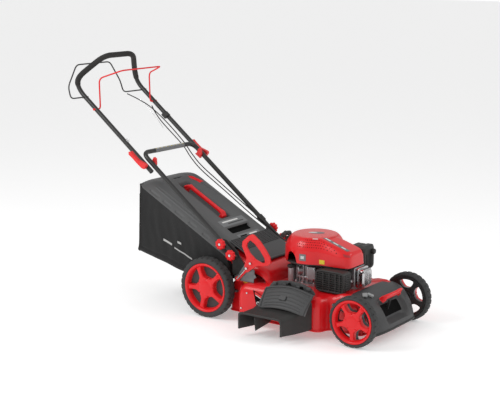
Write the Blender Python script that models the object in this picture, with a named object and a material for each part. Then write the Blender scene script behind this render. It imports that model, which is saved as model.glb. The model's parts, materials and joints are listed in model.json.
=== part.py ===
"""Petrol lawn mower with a rear grass bag, built from one body per piece.

Units are metres. X points forward, Y to the mower's left and Z up. The pieces are modelled
with the rear wheel axis at x = 0 and the ground at z = 0, and the root empty then moves the
whole mower so that the middle of its footprint stands on the origin.
"""
import math

import bmesh
import bpy
import numpy as np
from mathutils import Matrix, Vector

# ---------------------------------------------------------------- clearances
TOUCH = 0.0004            # gap between pieces that sit on each other
RUNNING = 0.0006          # gap between a turning piece and what it turns in

# ---------------------------------------------------------------- wheels and height adjustment
WHEELBASE = 0.777
REAR_TYRE_RADIUS = 0.140
REAR_RIM_RADIUS = 0.114
REAR_WHEEL_WIDTH = 0.052
FRONT_TYRE_RADIUS = 0.112
FRONT_RIM_RADIUS = 0.096
FRONT_WHEEL_WIDTH = 0.043
WHEEL_OUTER_FACE = 0.2656      # distance of the outer wheel faces from the middle plane
WHEEL_SIDES = 24               # flats on rims and tyres, alike so that they fit
HUB_RADIUS = 0.024
SPOKE_COUNT = 5
SPOKE_WIDTH = 0.020
AXLE_RADIUS = 0.0065
REAR_PIVOT = (0.132, 0.130)    # x, z of the rear cranked axle's pivot
FRONT_ARM = 0.137              # the front wheels stand this far ahead of their axle's pivot
FRONT_PIVOT = (WHEELBASE - FRONT_ARM, 0.150)
LINK_CRANK = 0.035             # length of the cranks that the link rod joins
LINK_ROD_RADIUS = 0.004
LINK_ROD_Y = 0.165
LINK_LUG = 0.005               # thickness of the cranks
LINK_SLACK = 0.0022            # play of the rod in the front crank
LEVER_PIVOT = (0.150, 0.196)
LEVER_Y = (-0.2165, -0.2085)   # outer and inner face of the height lever

# ---------------------------------------------------------------- deck
DECK_WALL = 0.0025
DECK_TOP = 0.185
SKIRT_BOTTOM = 0.033
DECK_REAR = 0.086
DECK_FRONT = WHEELBASE + 0.008
DECK_HALF_WIDTH = 0.250
DECK_NECK_HALF_WIDTH = 0.186   # between the wheels
DECK_WIDE_FROM = REAR_TYRE_RADIUS + 0.039
DECK_WIDE_TO = WHEELBASE - FRONT_TYRE_RADIUS - 0.061
CRANK_ARM_Y = DECK_NECK_HALF_WIDTH + AXLE_RADIUS + 0.002
TUNNEL_HALF_WIDTH = 0.170
TUNNEL_FRONT = 0.300
TUNNEL_KNEE = (0.212, 0.250)
TUNNEL_REAR_TOP = 0.308
TUNNEL_WALL = 0.004
PLASTIC_WALL = 0.003
COVER_HALF_WIDTH = 0.189
FLAP_HALF_WIDTH = 0.158
FLAP_HINGE = (0.224, 0.266)    # x, z of the rear flap's hinge
FLAP_TIP = (0.060, 0.350)
FLAP_THICKNESS = 0.004
SIDE_HINGE = (0.010 - DECK_HALF_WIDTH, 0.217)   # y, z of the side flap's hinge
SIDE_FLAP_REACH = (-0.076, -0.087)              # from the hinge to the flap's lower edge
CHUTE_REACH = 0.148

# ---------------------------------------------------------------- engine
CRANK_X = 0.430
SHAFT_RADIUS = 0.0115
CRANKCASE_RADIUS = 0.092
CRANKCASE_FLANGE = 0.108
CRANKCASE_TOP = 0.286
CYLINDER_AXIS_Z = 0.240
BARREL_RADIUS = 0.034
FIN_RADIUS = 0.045
FIN_COUNT = 6
BARREL_END = 0.636
HEAD_THICKNESS = 0.028
HEAD_HALF = (0.046, 0.044)     # half width and half height of the cylinder head
SHROUD_RADIUS = 0.137
SHROUD_TOP = 0.386
SHROUD_BOTTOM = 0.292
SHROUD_FRONT = 0.664
SHROUD_RIGHT = -0.104
SHROUD_LEFT = 0.042
SHROUD_WALL = 0.0025
STARTER_RADIUS = 0.099
STARTER_HEIGHT = 0.020
OIL_FILLER = (0.3636, -0.0939, 0.256)   # middle of the filler neck's rim
FLYWHEEL_RADIUS = 0.086
FLYWHEEL_Z = 0.304
FLYWHEEL_SEAT = 0.009          # radius of the shaft's end that the flywheel sits on
PULLEY_RADIUS = 0.032
PULLEY_GROOVE = 0.026
PULLEY_HEIGHT = 0.016
BELT_Z = 0.108
BELT_THICKNESS = 0.0045
BELT_WIDTH = 0.008
GEAR_PULLEY_X = 0.172
GEAR_SHAFT_RADIUS = 0.006
GEARBOX = (0.1180, 0.1505)     # bottom and top of the drive gearbox
GEARBOX_WALL = 0.0080
BLADE_LENGTH = 0.470
BLADE_WIDTH = 0.055
BLADE_THICKNESS = 0.003
BLADE_Z = 0.058
BLADE_BOLT_RADIUS = 0.0050

# ---------------------------------------------------------------- handle
HANDLE_SLOPE = math.radians(38.5)
TUBE_RADIUS = 0.011
TUBE_SIDES = 8                 # flats on the handle's tubes and on the grip round them
LOWER_HALF_WIDTH = 0.192
UPPER_HALF_WIDTH = 0.217
LOWER_BOLTS = ((0.054, 0.343), (0.110, 0.2985))
CROSSBAR_X = -0.4175
CAM_X = -0.362
UPPER_DROP = 0.016             # how far the upper tubes lie below the lower tubes' line
UPPER_TOP_X = -0.792           # where the side tubes turn up into the hand loop
LOOP_HALF_WIDTH = 0.108
GRIP_WALL = 0.0022
GRIP_FROM_Z = 1.018
BAIL_RADIUS = 0.0034
ENGINE_BAIL_X = -0.752
DRIVE_BAIL_X = -0.684
BRACKET_THICKNESS = 0.004
BRACKET_Y = LOWER_HALF_WIDTH - TUBE_RADIUS - TOUCH - BRACKET_THICKNESS
KNOB_RADIUS = 0.026
KNOB_LOBES = 9
KNOB_THICKNESS = 0.020
CAM_THICKNESS = 0.017
CABLE_RADIUS = 0.0026
CABLE_POINTS = 38

# ---------------------------------------------------------------- grass bag
BAG_HALF_WIDTH = 0.198
BAG_WALL = 0.003
BAG_FRONT = 0.080
LID_SLOPE = math.radians(28.6)
LID_REAR = (-0.446, 0.565)     # x, z of the lid's rear edge
LID_LENGTH = 0.588
LID_RISE = 0.047
LID_FLAT_HALF_WIDTH = 0.125
LID_RIM = 0.006
RECESS = (0.115, 0.392)        # where the hand recess starts and ends along the lid
RECESS_DEPTH = 0.030
RECESS_SLOPE = 0.015           # how far its end walls lean in
BAG_HANDLE_RADIUS = 0.0095
BAG_HANDLE_RISE = 0.006

COLOURS = {
    "red paint": ((0.80, 0.012, 0.018), 0.0, 0.28),
    "red plastic": ((0.74, 0.014, 0.020), 0.0, 0.38),
    "rim red": ((0.76, 0.012, 0.018), 0.0, 0.32),
    "tyre rubber": ((0.045, 0.046, 0.048), 0.0, 0.85),
    "black tube": ((0.025, 0.025, 0.026), 0.2, 0.42),
    "foam grip": ((0.018, 0.018, 0.018), 0.0, 0.92),
    "black plastic": ((0.022, 0.022, 0.023), 0.0, 0.55),
    "grey plastic": ((0.075, 0.077, 0.080), 0.0, 0.50),
    "bag fabric": ((0.016, 0.016, 0.017), 0.0, 0.95),
    "cast aluminium": ((0.33, 0.33, 0.34), 0.9, 0.48),
    "bright steel": ((0.62, 0.62, 0.63), 1.0, 0.28),
    "dark steel": ((0.12, 0.12, 0.125), 0.9, 0.45),
    "cable sheath": ((0.014, 0.014, 0.014), 0.0, 0.60),
}


# ---------------------------------------------------------------- scene and objects
def clear_scene():
    for item in list(bpy.data.objects):
        bpy.data.objects.remove(item, do_unlink=True)


def material(name):
    found = bpy.data.materials.get(name)
    if found:
        return found
    colour, metallic, roughness = COLOURS[name]
    made = bpy.data.materials.new(name)
    made.use_nodes = True
    shader = made.node_tree.nodes["Principled BSDF"]
    shader.inputs["Base Color"].default_value = (*colour, 1.0)
    shader.inputs["Metallic"].default_value = metallic
    shader.inputs["Roughness"].default_value = roughness
    return made


def link(item, parent):
    bpy.context.scene.collection.objects.link(item)
    item.parent = parent


def empty(name, place, parent=None):
    item = bpy.data.objects.new(name, None)
    link(item, parent)
    base = parent.matrix_world.translation if parent else Vector()
    item.location = Vector(place) - base
    bpy.context.view_layer.update()
    return item


def node(name, shape, finish, parent, smooth=35.0):
    """Make a named object from a bmesh that is in mower coordinates."""
    bmesh.ops.recalc_face_normals(shape, faces=shape.faces[:])
    shape.transform(Matrix.Translation(-parent.matrix_world.translation))
    mesh = bpy.data.meshes.new(name)
    shape.to_mesh(mesh)
    shape.free()
    item = bpy.data.objects.new(name, mesh)
    link(item, parent)
    mesh.materials.append(material(finish))
    mesh.shade_smooth()
    mesh.set_sharp_from_angle(angle=math.radians(smooth))
    return item


def boolean(item, shape, operation):
    """Cut a shape out of a node, or join it on, with a hidden helper object."""
    bmesh.ops.recalc_face_normals(shape, faces=shape.faces[:])
    mesh = bpy.data.meshes.new("helper")
    shape.to_mesh(mesh)
    shape.free()
    helper = bpy.data.objects.new("helper", mesh)
    link(helper, ROOT)
    helper.hide_render = True
    helper.display_type = "WIRE"
    step = item.modifiers.new(operation.lower(), "BOOLEAN")
    step.operation = operation
    step.solver = "EXACT"
    step.object = helper


def cut(item, shape):
    boolean(item, shape, "DIFFERENCE")


def join(item, shape):
    boolean(item, shape, "UNION")


# ---------------------------------------------------------------- shapes
AXES = {
    "X": (Vector((0, 1, 0)), Vector((0, 0, 1)), Vector((1, 0, 0))),
    "Y": (Vector((1, 0, 0)), Vector((0, 0, 1)), Vector((0, 1, 0))),
    "Z": (Vector((1, 0, 0)), Vector((0, 1, 0)), Vector((0, 0, 1))),
}


def on_axis(axis, first, second, along):
    across, over, direction = AXES[axis]
    return across * first + over * second + direction * along


def grid_faces(shape, loops, closed_rows=False):
    """Join neighbouring loops of vertices, which all go round, with faces."""
    count = len(loops[0])
    rows = len(loops) if closed_rows else len(loops) - 1
    for row in range(rows):
        low = loops[row]
        high = loops[(row + 1) % len(loops)]
        for k in range(count):
            after = (k + 1) % count
            shape.faces.new((low[k], low[after], high[after], high[k]))


def loft(sections, closed=False):
    """A body through closed sections of equal point count, capped at both ends."""
    shape = bmesh.new()
    loops = [[shape.verts.new(point) for point in section] for section in sections]
    grid_faces(shape, loops, closed)
    if not closed:
        shape.faces.new(loops[0])
        shape.faces.new(loops[-1])
    return shape


def prism(outline, low, high, axis):
    """An outline in the plane across an axis, extruded along it."""
    start = [on_axis(axis, a, b, low) for a, b in outline]
    end = [on_axis(axis, a, b, high) for a, b in outline]
    return loft([start, end])


def box(low, high, bevel=0.0, segments=2):
    shape = bmesh.new()
    bmesh.ops.create_cube(shape, size=1.0)
    size = [b - a for a, b in zip(low, high)]
    middle = [(a + b) / 2 for a, b in zip(low, high)]
    shape.transform(Matrix.Translation(middle) @ Matrix.Diagonal((*size, 1.0)))
    if bevel:
        bmesh.ops.bevel(shape, geom=shape.edges[:], offset=bevel, segments=segments,
                        profile=0.5, affect="EDGES", clamp_overlap=True)
    return shape


def turned(profile, centre, axis, steps=32, ring=False):
    """A body turned about an axis: the profile holds radius and place along the axis."""
    shape = bmesh.new()
    centre = Vector(centre)
    loops = []
    for radius, along in profile:
        if radius == 0.0:
            loops.append([shape.verts.new(centre + on_axis(axis, 0, 0, along))])
            continue
        loop = []
        for k in range(steps):
            angle = 2 * math.pi * k / steps
            place = on_axis(axis, radius * math.cos(angle), radius * math.sin(angle), along)
            loop.append(shape.verts.new(centre + place))
        loops.append(loop)
    rows = len(loops) if ring else len(loops) - 1
    for row in range(rows):
        low = loops[row]
        high = loops[(row + 1) % len(loops)]
        for k in range(steps):
            after = (k + 1) % steps
            if len(low) == 1:
                shape.faces.new((low[0], high[after], high[k]))
            elif len(high) == 1:
                shape.faces.new((low[k], low[after], high[0]))
            else:
                shape.faces.new((low[k], low[after], high[after], high[k]))
    return shape


def cylinder(centre, axis, radius, low, high, steps=20):
    return turned([(0.0, low), (radius, low), (radius, high), (0.0, high)], centre, axis, steps)


def rounded_path(points, bend, steps=4):
    """A path whose corners are rounded, each by a short curve that starts a bend's length off."""
    points = [np.array(point, float) for point in points]
    path = [points[0]]
    for before, corner, after in zip(points, points[1:], points[2:]):
        back = before - corner
        ahead = after - corner
        reach_back = min(bend, 0.48 * np.linalg.norm(back))
        reach_ahead = min(bend, 0.48 * np.linalg.norm(ahead))
        start = corner + back / np.linalg.norm(back) * reach_back
        end = corner + ahead / np.linalg.norm(ahead) * reach_ahead
        for k in range(steps + 1):
            t = k / steps
            path.append((1 - t) ** 2 * start + 2 * t * (1 - t) * corner + t ** 2 * end)
    path.append(points[-1])
    return path


def frames(path):
    """Two directions across the path at each point, carried along without twist."""
    path = np.array(path)
    steps = np.diff(path, axis=0)
    steps /= np.linalg.norm(steps, axis=1)[:, None]
    tangents = np.vstack([steps[:1], steps[:-1] + steps[1:], steps[-1:]])
    tangents /= np.linalg.norm(tangents, axis=1)[:, None]
    guess = np.array([0.0, 0.0, 1.0])
    if abs(tangents[0] @ guess) > 0.9:
        guess = np.array([1.0, 0.0, 0.0])
    sides = []
    for tangent in tangents:
        guess = guess - (guess @ tangent) * tangent
        guess /= np.linalg.norm(guess)
        sides.append((guess, np.cross(tangent, guess)))
    return path, sides


def swept_loops(path, radius, sides):
    path, across = frames(path)
    angles = [2 * math.pi * k / sides for k in range(sides)]
    loops = []
    for point, (first, second) in zip(path, across):
        loops.append([point + radius * (math.cos(a) * first + math.sin(a) * second) for a in angles])
    return loops


def rod(path, radius, sides=10):
    return loft(swept_loops(path, radius, sides))


def sleeve(path, inner, outer, sides=10):
    """A tube round a path, open at both ends."""
    return loft(swept_loops(path, outer, sides) + swept_loops(path, inner, sides)[::-1], closed=True)


def arc(centre, radius, start, end, steps):
    """Points on an arc, with the angles in degrees."""
    points = []
    for k in range(steps + 1):
        angle = math.radians(start + (end - start) * k / steps)
        points.append((centre[0] + radius * math.cos(angle), centre[1] + radius * math.sin(angle)))
    return points


def mirrored(points):
    """The path, followed back along the other side of the middle plane."""
    return [(x, y, z) for x, y, z in points] + [(x, -y, z) for x, y, z in reversed(points)]


# ---------------------------------------------------------------- the handle's lines
def lower_line(x):
    """Height of the lower tubes' middle line."""
    bolt_x, bolt_z = LOWER_BOLTS[0]
    return bolt_z - math.tan(HANDLE_SLOPE) * (x - bolt_x)


def upper_line(x):
    return lower_line(x) - UPPER_DROP / math.cos(HANDLE_SLOPE)


def cam_axis():
    return CAM_X, (lower_line(CAM_X) + upper_line(CAM_X)) / 2


# ---------------------------------------------------------------- wheels
def rim(name, centre, side, rim_radius, width, turn, parent):
    """A rim with a hub and five spokes, its outer face on the given side."""
    bore = AXLE_RADIUS + RUNNING
    inner = rim_radius - 0.011
    recess = 0.005
    web = 0.007
    profile = [
        (bore, 0.0), (HUB_RADIUS - 0.004, 0.0), (HUB_RADIUS, width - recess - web),
        (rim_radius - 0.0035, width - recess - web), (rim_radius - 0.0035, 0.0), (rim_radius, 0.0),
        (rim_radius, width - 0.001), (inner, width - 0.001), (inner, width - recess),
        (HUB_RADIUS, width - recess), (HUB_RADIUS, width + 0.001), (bore, width + 0.001),
    ]
    face = (WHEEL_OUTER_FACE - width) * side
    body = turned([(r, along * side) for r, along in profile], (centre[0], face, centre[1]), "Y",
                  WHEEL_SIDES, True)
    item = node(name, body, "rim red", parent)
    for k in range(SPOKE_COUNT):
        middle = turn + 360 / SPOKE_COUNT * (k + 0.5)
        outer_r = inner - 0.0015
        inner_r = HUB_RADIUS + 0.006
        outer_half = 180 / SPOKE_COUNT - math.degrees(SPOKE_WIDTH / 2 / outer_r)
        inner_half = 180 / SPOKE_COUNT - math.degrees(SPOKE_WIDTH / 2 / inner_r) * 0.9
        outline = arc(centre, outer_r, middle - outer_half, middle + outer_half, 2)
        outline += arc(centre, inner_r, middle + inner_half, middle - inner_half, 1)
        cut(item, prism(outline, face - 0.01, face + side * width + 0.01 * side, "Y"))


def tyre(name, centre, side, tyre_radius, rim_radius, width, parent):
    face = (WHEEL_OUTER_FACE - width) * side
    inner = rim_radius + TOUCH
    shoulder = 0.35 * (tyre_radius - inner)
    profile = [
        (inner, 0.001), (inner + shoulder, 0.0), (tyre_radius - 0.002, 0.004), (tyre_radius, 0.010),
        (tyre_radius, width - 0.010), (tyre_radius - 0.002, width - 0.004),
        (inner + shoulder, width), (inner, width - 0.001),
    ]
    body = turned([(r, along * side) for r, along in profile], (centre[0], face, centre[1]), "Y",
                  WHEEL_SIDES, True)
    node(name, body, "tyre rubber", parent)


def wheel(place, side, is_rear, turn, parent):
    side_name = "left" if side > 0 else "right"
    name = ("rear_" if is_rear else "front_") + side_name
    tyre_radius = REAR_TYRE_RADIUS if is_rear else FRONT_TYRE_RADIUS
    rim_radius = REAR_RIM_RADIUS if is_rear else FRONT_RIM_RADIUS
    width = REAR_WHEEL_WIDTH if is_rear else FRONT_WHEEL_WIDTH
    hub = empty(name + "_wheel_axis", (place[0], side * (WHEEL_OUTER_FACE - width / 2), place[1]), parent)
    rim(name + "_rim", place, side, rim_radius, width, turn, hub)
    tyre(name + "_tyre", place, side, tyre_radius, rim_radius, width, hub)


def cranked_axle(name, pivot, wheel_place, crank_down, play, parent):
    """A bar across the deck, bent at both ends to carry a wheel, with a crank for the link rod."""
    axis = empty(name + "_axis", (pivot[0], 0.0, pivot[1]), parent)
    end = WHEEL_OUTER_FACE - 0.002   # the axle ends just inside the hub's outer face
    half = [(wheel_place[0], -end, wheel_place[1]), (wheel_place[0], -CRANK_ARM_Y, wheel_place[1]),
            (pivot[0], -CRANK_ARM_Y, pivot[1])]
    item = node(name, rod(rounded_path(mirrored(half), 0.012, 2), AXLE_RADIUS, 10), "dark steel", axis)
    direction = -90 if crank_down else 90
    tip = (pivot[0], pivot[1] + math.copysign(LINK_CRANK, direction))
    outline = arc(pivot, AXLE_RADIUS + 0.004, direction + 90, direction + 270, 4)
    outline += arc(tip, LINK_ROD_RADIUS + play + 0.005, direction - 90, direction + 90, 4)
    low = LINK_ROD_Y - 0.012
    join(item, prism(outline, low, low + LINK_LUG, "Y"))
    hole = (tip[0], 0.0, tip[1])
    cut(item, cylinder(hole, "Y", LINK_ROD_RADIUS + play, low - 0.003, low + LINK_LUG + 0.003, 12))
    return axis, tip


def link_rod(rear_tip, front_tip, parent):
    axis = empty("height_link_axis", (rear_tip[0], 0.0, rear_tip[1]), parent)
    inside = LINK_ROD_Y - 0.016
    points = [(rear_tip[0], inside, rear_tip[1]), (rear_tip[0], LINK_ROD_Y, rear_tip[1]),
              (front_tip[0], LINK_ROD_Y, front_tip[1]), (front_tip[0], inside, front_tip[1])]
    node("height_link_rod", rod(rounded_path(points, 0.006, 3), LINK_ROD_RADIUS, 6), "dark steel", axis)


# ---------------------------------------------------------------- deck
def deck_outline():
    """Half of the deck's plan on the right side, from the rear middle to the front middle."""
    neck = DECK_NECK_HALF_WIDTH
    wide = DECK_HALF_WIDTH
    points = [(DECK_REAR, 0.0), (DECK_REAR, -neck / 2)]
    points += arc((DECK_REAR + 0.02, -neck + 0.02), 0.02, 180, 270, 2)
    points += [(DECK_WIDE_FROM - 0.022, -neck)]
    points += arc((DECK_WIDE_FROM + 0.018, -wide + 0.018), 0.018, 180, 270, 2)
    points += [(0.27, -wide), (0.35, -wide), (CRANK_X, -wide), (0.52, -wide), (0.58, -wide)]
    points += arc((DECK_WIDE_TO - 0.018, -wide + 0.018), 0.018, 270, 360, 2)
    points += [(DECK_WIDE_TO + 0.018, -neck)]
    points += arc((DECK_FRONT - 0.06, -neck + 0.06), 0.06, 270, 360, 4)
    points += [(DECK_FRONT, -neck / 3), (DECK_FRONT, 0.0)]
    right = points[1:-1]
    return points + [(x, -y) for x, y in reversed(right)]


def inset(outline, distance):
    """The outline moved inwards by a distance, point by point."""
    moved = []
    count = len(outline)
    for k, point in enumerate(outline):
        before = Vector(outline[k - 1])
        after = Vector(outline[(k + 1) % count])
        here = Vector(point)
        first = (here - before).normalized()
        second = (after - here).normalized()
        normal = Vector((-first.y - second.y, first.x + second.x)).normalized()
        spread = max(normal.dot(Vector((-first.y, first.x))), 0.5)
        moved.append(tuple(here + normal * distance / spread))
    return moved


def scaled(outline, share, z):
    return [(CRANK_X + (x - CRANK_X) * share, y * share, z) for x, y in outline]


def bore_loop(radius, z, outline):
    """A round loop whose points lie in line with the outline's points."""
    loop = []
    for x, y in outline:
        angle = math.atan2(y, x - CRANK_X)
        loop.append((CRANK_X + radius * math.cos(angle), radius * math.sin(angle), z))
    return loop


def deck_shell(parent):
    """The steel deck: a shell with a round bore for the engine and a side discharge opening."""
    outline = deck_outline()
    within = inset(outline, DECK_WALL)
    bore = 0.034
    shoulder = ((1.0, SKIRT_BOTTOM), (1.0, DECK_TOP - 0.050), (0.98, DECK_TOP - 0.025),
                (0.93, DECK_TOP - 0.007), (0.85, DECK_TOP))
    outer = [scaled(outline, share, z) for share, z in shoulder]
    outer.append(bore_loop(bore, DECK_TOP, outline))
    inner = [scaled(within, 1.0, SKIRT_BOTTOM), scaled(within, 1.0, DECK_TOP - 0.051)]
    inner += [scaled(within, share - 0.004, z - DECK_WALL) for share, z in shoulder[2:4]]
    inner += [scaled(within, 0.85, DECK_TOP - DECK_WALL), bore_loop(bore, DECK_TOP - DECK_WALL, outline)]
    item = node("deck_shell", loft(outer + inner[::-1], closed=True), "red paint", parent)
    # side discharge opening in the right wall, behind the chute
    cut(item, box((0.345, -DECK_HALF_WIDTH - 0.02, 0.042), (0.565, -DECK_HALF_WIDTH + 0.015, 0.140)))
    # opening under the discharge tunnel
    side = TUNNEL_HALF_WIDTH - 0.015
    cut(item, box((DECK_REAR + 0.02, -side, DECK_TOP - 0.017), (TUNNEL_FRONT - 0.03, side, DECK_TOP + 0.015)))
    # holes that the two cranked axles turn in
    hole = AXLE_RADIUS + RUNNING + 0.002
    for pivot in (REAR_PIVOT, FRONT_PIVOT):
        cut(item, cylinder((pivot[0], 0.0, pivot[1]), "Y", hole, -CRANK_ARM_Y, CRANK_ARM_Y, 16))


def tunnel(parent):
    """The raised discharge tunnel at the rear of the deck, open below and behind."""
    base = DECK_TOP + TOUCH
    outline = [(TUNNEL_FRONT, base), TUNNEL_KNEE, (DECK_REAR, TUNNEL_REAR_TOP), (DECK_REAR, base)]
    body = prism(outline, -TUNNEL_HALF_WIDTH, TUNNEL_HALF_WIDTH, "Y")
    item = node("discharge_tunnel", body, "red paint", parent)
    wall = TUNNEL_WALL
    inside = [(TUNNEL_FRONT - 2 * wall, base - 0.01),
              (TUNNEL_KNEE[0] - wall / 2, TUNNEL_KNEE[1] - wall - 0.001),
              (DECK_REAR - 0.02, TUNNEL_REAR_TOP + wall), (DECK_REAR - 0.02, base - 0.01)]
    cut(item, prism(inside, -TUNNEL_HALF_WIDTH + wall, TUNNEL_HALF_WIDTH - wall, "Y"))


def front_cover(parent):
    """The curved nose over the front of the deck, drawn in towards both ends."""
    half = COVER_HALF_WIDTH
    rear = DECK_FRONT - 0.085
    profile = [(rear, 0.1930), (rear + 0.055, 0.1915), (rear + 0.105, 0.170), (rear + 0.142, 0.130),
               (rear + 0.164, 0.085), (rear + 0.168, 0.048)]
    sections = []
    for k in range(11):
        y = half * (k / 5 - 1)
        squeeze = 0.56 + 0.44 * math.sqrt(1 - (abs(y) / half * 0.93) ** 4)
        outer = [(rear + (x - rear) * squeeze, z) for x, z in profile]
        inner = [(x - PLASTIC_WALL * 0.8, z - PLASTIC_WALL) for x, z in outer]
        inner[0] = (rear, outer[0][1] - PLASTIC_WALL)
        inner[-1] = (outer[-1][0] - PLASTIC_WALL, outer[-1][1])
        sections.append([(x, y, z) for x, z in outer + inner[::-1]])
    node("front_cover", loft(sections), "grey plastic", parent)


def front_grab_handle(parent):
    """The lifting handle that stands on the front cover."""
    foot = DECK_FRONT + 0.027
    half = [(foot, -0.068, 0.1665), (foot + 0.014, -0.066, 0.186), (foot + 0.020, -0.040, 0.199)]
    path = rounded_path(mirrored(half), 0.018, 3)
    node("front_grab_handle", rod(path, 0.0085, 10), "red plastic", parent)


def handle_bracket(side, parent):
    name = "handle_bracket_" + ("left" if side > 0 else "right")
    first, second = LOWER_BOLTS
    outline = arc(first, 0.018, 250, 60, 5)
    outline += arc(second, 0.022, 55, 0, 3)
    outline += [(0.160, 0.262), (0.160, 0.200), (0.098, 0.200), (0.096, 0.300)]
    face = side * BRACKET_Y
    node(name, prism(outline, face, face + side * BRACKET_THICKNESS, "Y"), "black plastic", parent)


def rear_flap(parent):
    """The rear flap, which rests on the front of the bag's lid."""
    hinge = Vector(FLAP_HINGE)
    tip = Vector(FLAP_TIP)
    along = (tip - hinge).normalized()
    thick = Vector((-along.y, along.x)) * -FLAP_THICKNESS
    start = hinge + along * 0.002
    axis = empty("rear_flap_axis", (hinge.x, 0.0, hinge.y), parent)
    outline = [tuple(start), tuple(tip), tuple(tip + thick), tuple(start + thick)]
    item = node("rear_flap", prism(outline, -FLAP_HALF_WIDTH, FLAP_HALF_WIDTH, "Y"), "grey plastic", axis)
    barrel = (hinge.x, 0.0, hinge.y + FLAP_THICKNESS / 2)
    join(item, cylinder(barrel, "Y", 0.006, -FLAP_HALF_WIDTH, FLAP_HALF_WIDTH, 12))


def side_flap(parent):
    """The flap over the side discharge chute, a little shorter at both ends."""
    hinge = Vector(SIDE_HINGE)
    reach = Vector(SIDE_FLAP_REACH)
    along = reach.normalized()
    thick = Vector((along.y, -along.x)) * PLASTIC_WALL
    axis = empty("side_flap_axis", (0.0, hinge.x, hinge.y), parent)
    sections = []
    for x, share in ((0.338, 0.88), (0.360, 1.0), (0.550, 1.0), (0.580, 0.90)):
        start = hinge + along * 0.002
        end = hinge + reach * share
        sections.append([(x, p.x, p.y) for p in (start, end, end + thick, start + thick)])
    item = node("side_flap", loft(sections), "black plastic", axis)
    join(item, cylinder((0.0, hinge.x, hinge.y), "X", 0.005, 0.350, 0.568, 10))


def side_flap_bracket(parent):
    """The strip with two ears that carries the side flap's hinge."""
    foot = DECK_TOP - 0.0055
    top = SIDE_HINGE[1] + 0.010
    outline = [(0.365, foot), (0.555, foot), (0.548, top), (0.520, top), (0.510, top - 0.015),
               (0.410, top - 0.015), (0.400, top), (0.372, top)]
    inner = 0.0200 - DECK_HALF_WIDTH
    node("side_flap_bracket", prism(outline, inner - 0.0035, inner, "Y"), "black plastic", parent)


def side_chute(parent):
    """The discharge chute: an upside-down channel that leads outwards from the deck."""
    wall = PLASTIC_WALL
    corner = (0.018, 0.022)
    stations = [
        (0.0006, 0.338, 0.572, 0.042, 0.168),
        (CHUTE_REACH / 3, 0.322, 0.552, 0.036, 0.134),
        (CHUTE_REACH * 0.55, 0.312, 0.538, 0.034, 0.116),
        (CHUTE_REACH, 0.286, 0.506, 0.033, 0.106),
    ]
    sections = []
    for reach, rear, front, bottom, top in stations:
        y = -DECK_HALF_WIDTH - reach
        outer = [(rear, bottom), (rear, top - corner[0]), (rear + corner[0], top), (front - corner[1], top),
                 (front, top - corner[1]), (front, bottom)]
        mitre = wall * 0.4
        inner = [(front - wall, bottom), (front - wall, top - corner[1] - mitre),
                 (front - corner[1] - mitre, top - wall), (rear + corner[0] + mitre, top - wall),
                 (rear + wall, top - corner[0] - mitre), (rear + wall, bottom)]
        sections.append([(x, y, z) for x, z in outer + inner])
    node("side_chute", loft(sections), "black plastic", parent)


# ---------------------------------------------------------------- height lever
def height_lever(parent):
    """The red loop lever, on a steel strip that turns on the quadrant plate."""
    pivot = LEVER_PIVOT
    near, far = LEVER_Y
    axis = empty("height_lever_axis", (pivot[0], 0.0, pivot[1]), parent)
    outline = [(0.196, 0.234), (0.190, 0.262), (0.202, 0.300), (0.192, 0.322), (0.177, 0.352),
               (0.180, 0.374), (0.214, 0.405), (0.230, 0.413), (0.243, 0.410), (0.274, 0.386),
               (0.306, 0.350), (0.328, 0.318), (0.332, 0.294), (0.316, 0.281), (0.284, 0.274),
               (0.258, 0.272), (0.230, 0.252), (0.208, 0.235)]
    item = node("height_lever", prism(outline, near, far, "Y"), "red plastic", axis)
    opening = [(0.221, 0.386), (0.202, 0.366), (0.201, 0.352), (0.219, 0.325), (0.250, 0.300),
               (0.286, 0.288), (0.302, 0.294), (0.300, 0.312), (0.276, 0.344), (0.246, 0.372)]
    cut(item, prism(opening, near - 0.01, far + 0.01, "Y"))
    strip = [(pivot[0] - 0.009, pivot[1] - 0.006), (pivot[0], pivot[1] - 0.012), (0.214, 0.250),
             (0.206, 0.262)]
    join(item, prism(strip, near + 0.002, far - 0.001, "Y"))
    join(item, cylinder((pivot[0], 0.0, pivot[1]), "Y", 0.011, near + 0.001, far - 0.0005, 16))


def height_quadrant(parent):
    """The plate whose notches hold the lever, on the deck's right rear corner."""
    x, z = LEVER_PIVOT
    foot = DECK_TOP + 0.0025
    outline = [(x - 0.022, foot), (x - 0.022, z + 0.010), (x, z + 0.020)]
    for k in range(7):
        angle = math.radians(62 - 8.5 * k)
        reach = 0.094 if k % 2 else 0.101
        outline.append((x + reach * math.cos(angle), z + reach * math.sin(angle)))
    outline += [(x + 0.085, z + 0.009), (x + 0.085, foot)]
    inner = LEVER_Y[1] + 0.001
    node("height_quadrant", prism(outline, inner, inner + 0.0035, "Y"), "dark steel", parent)


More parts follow.
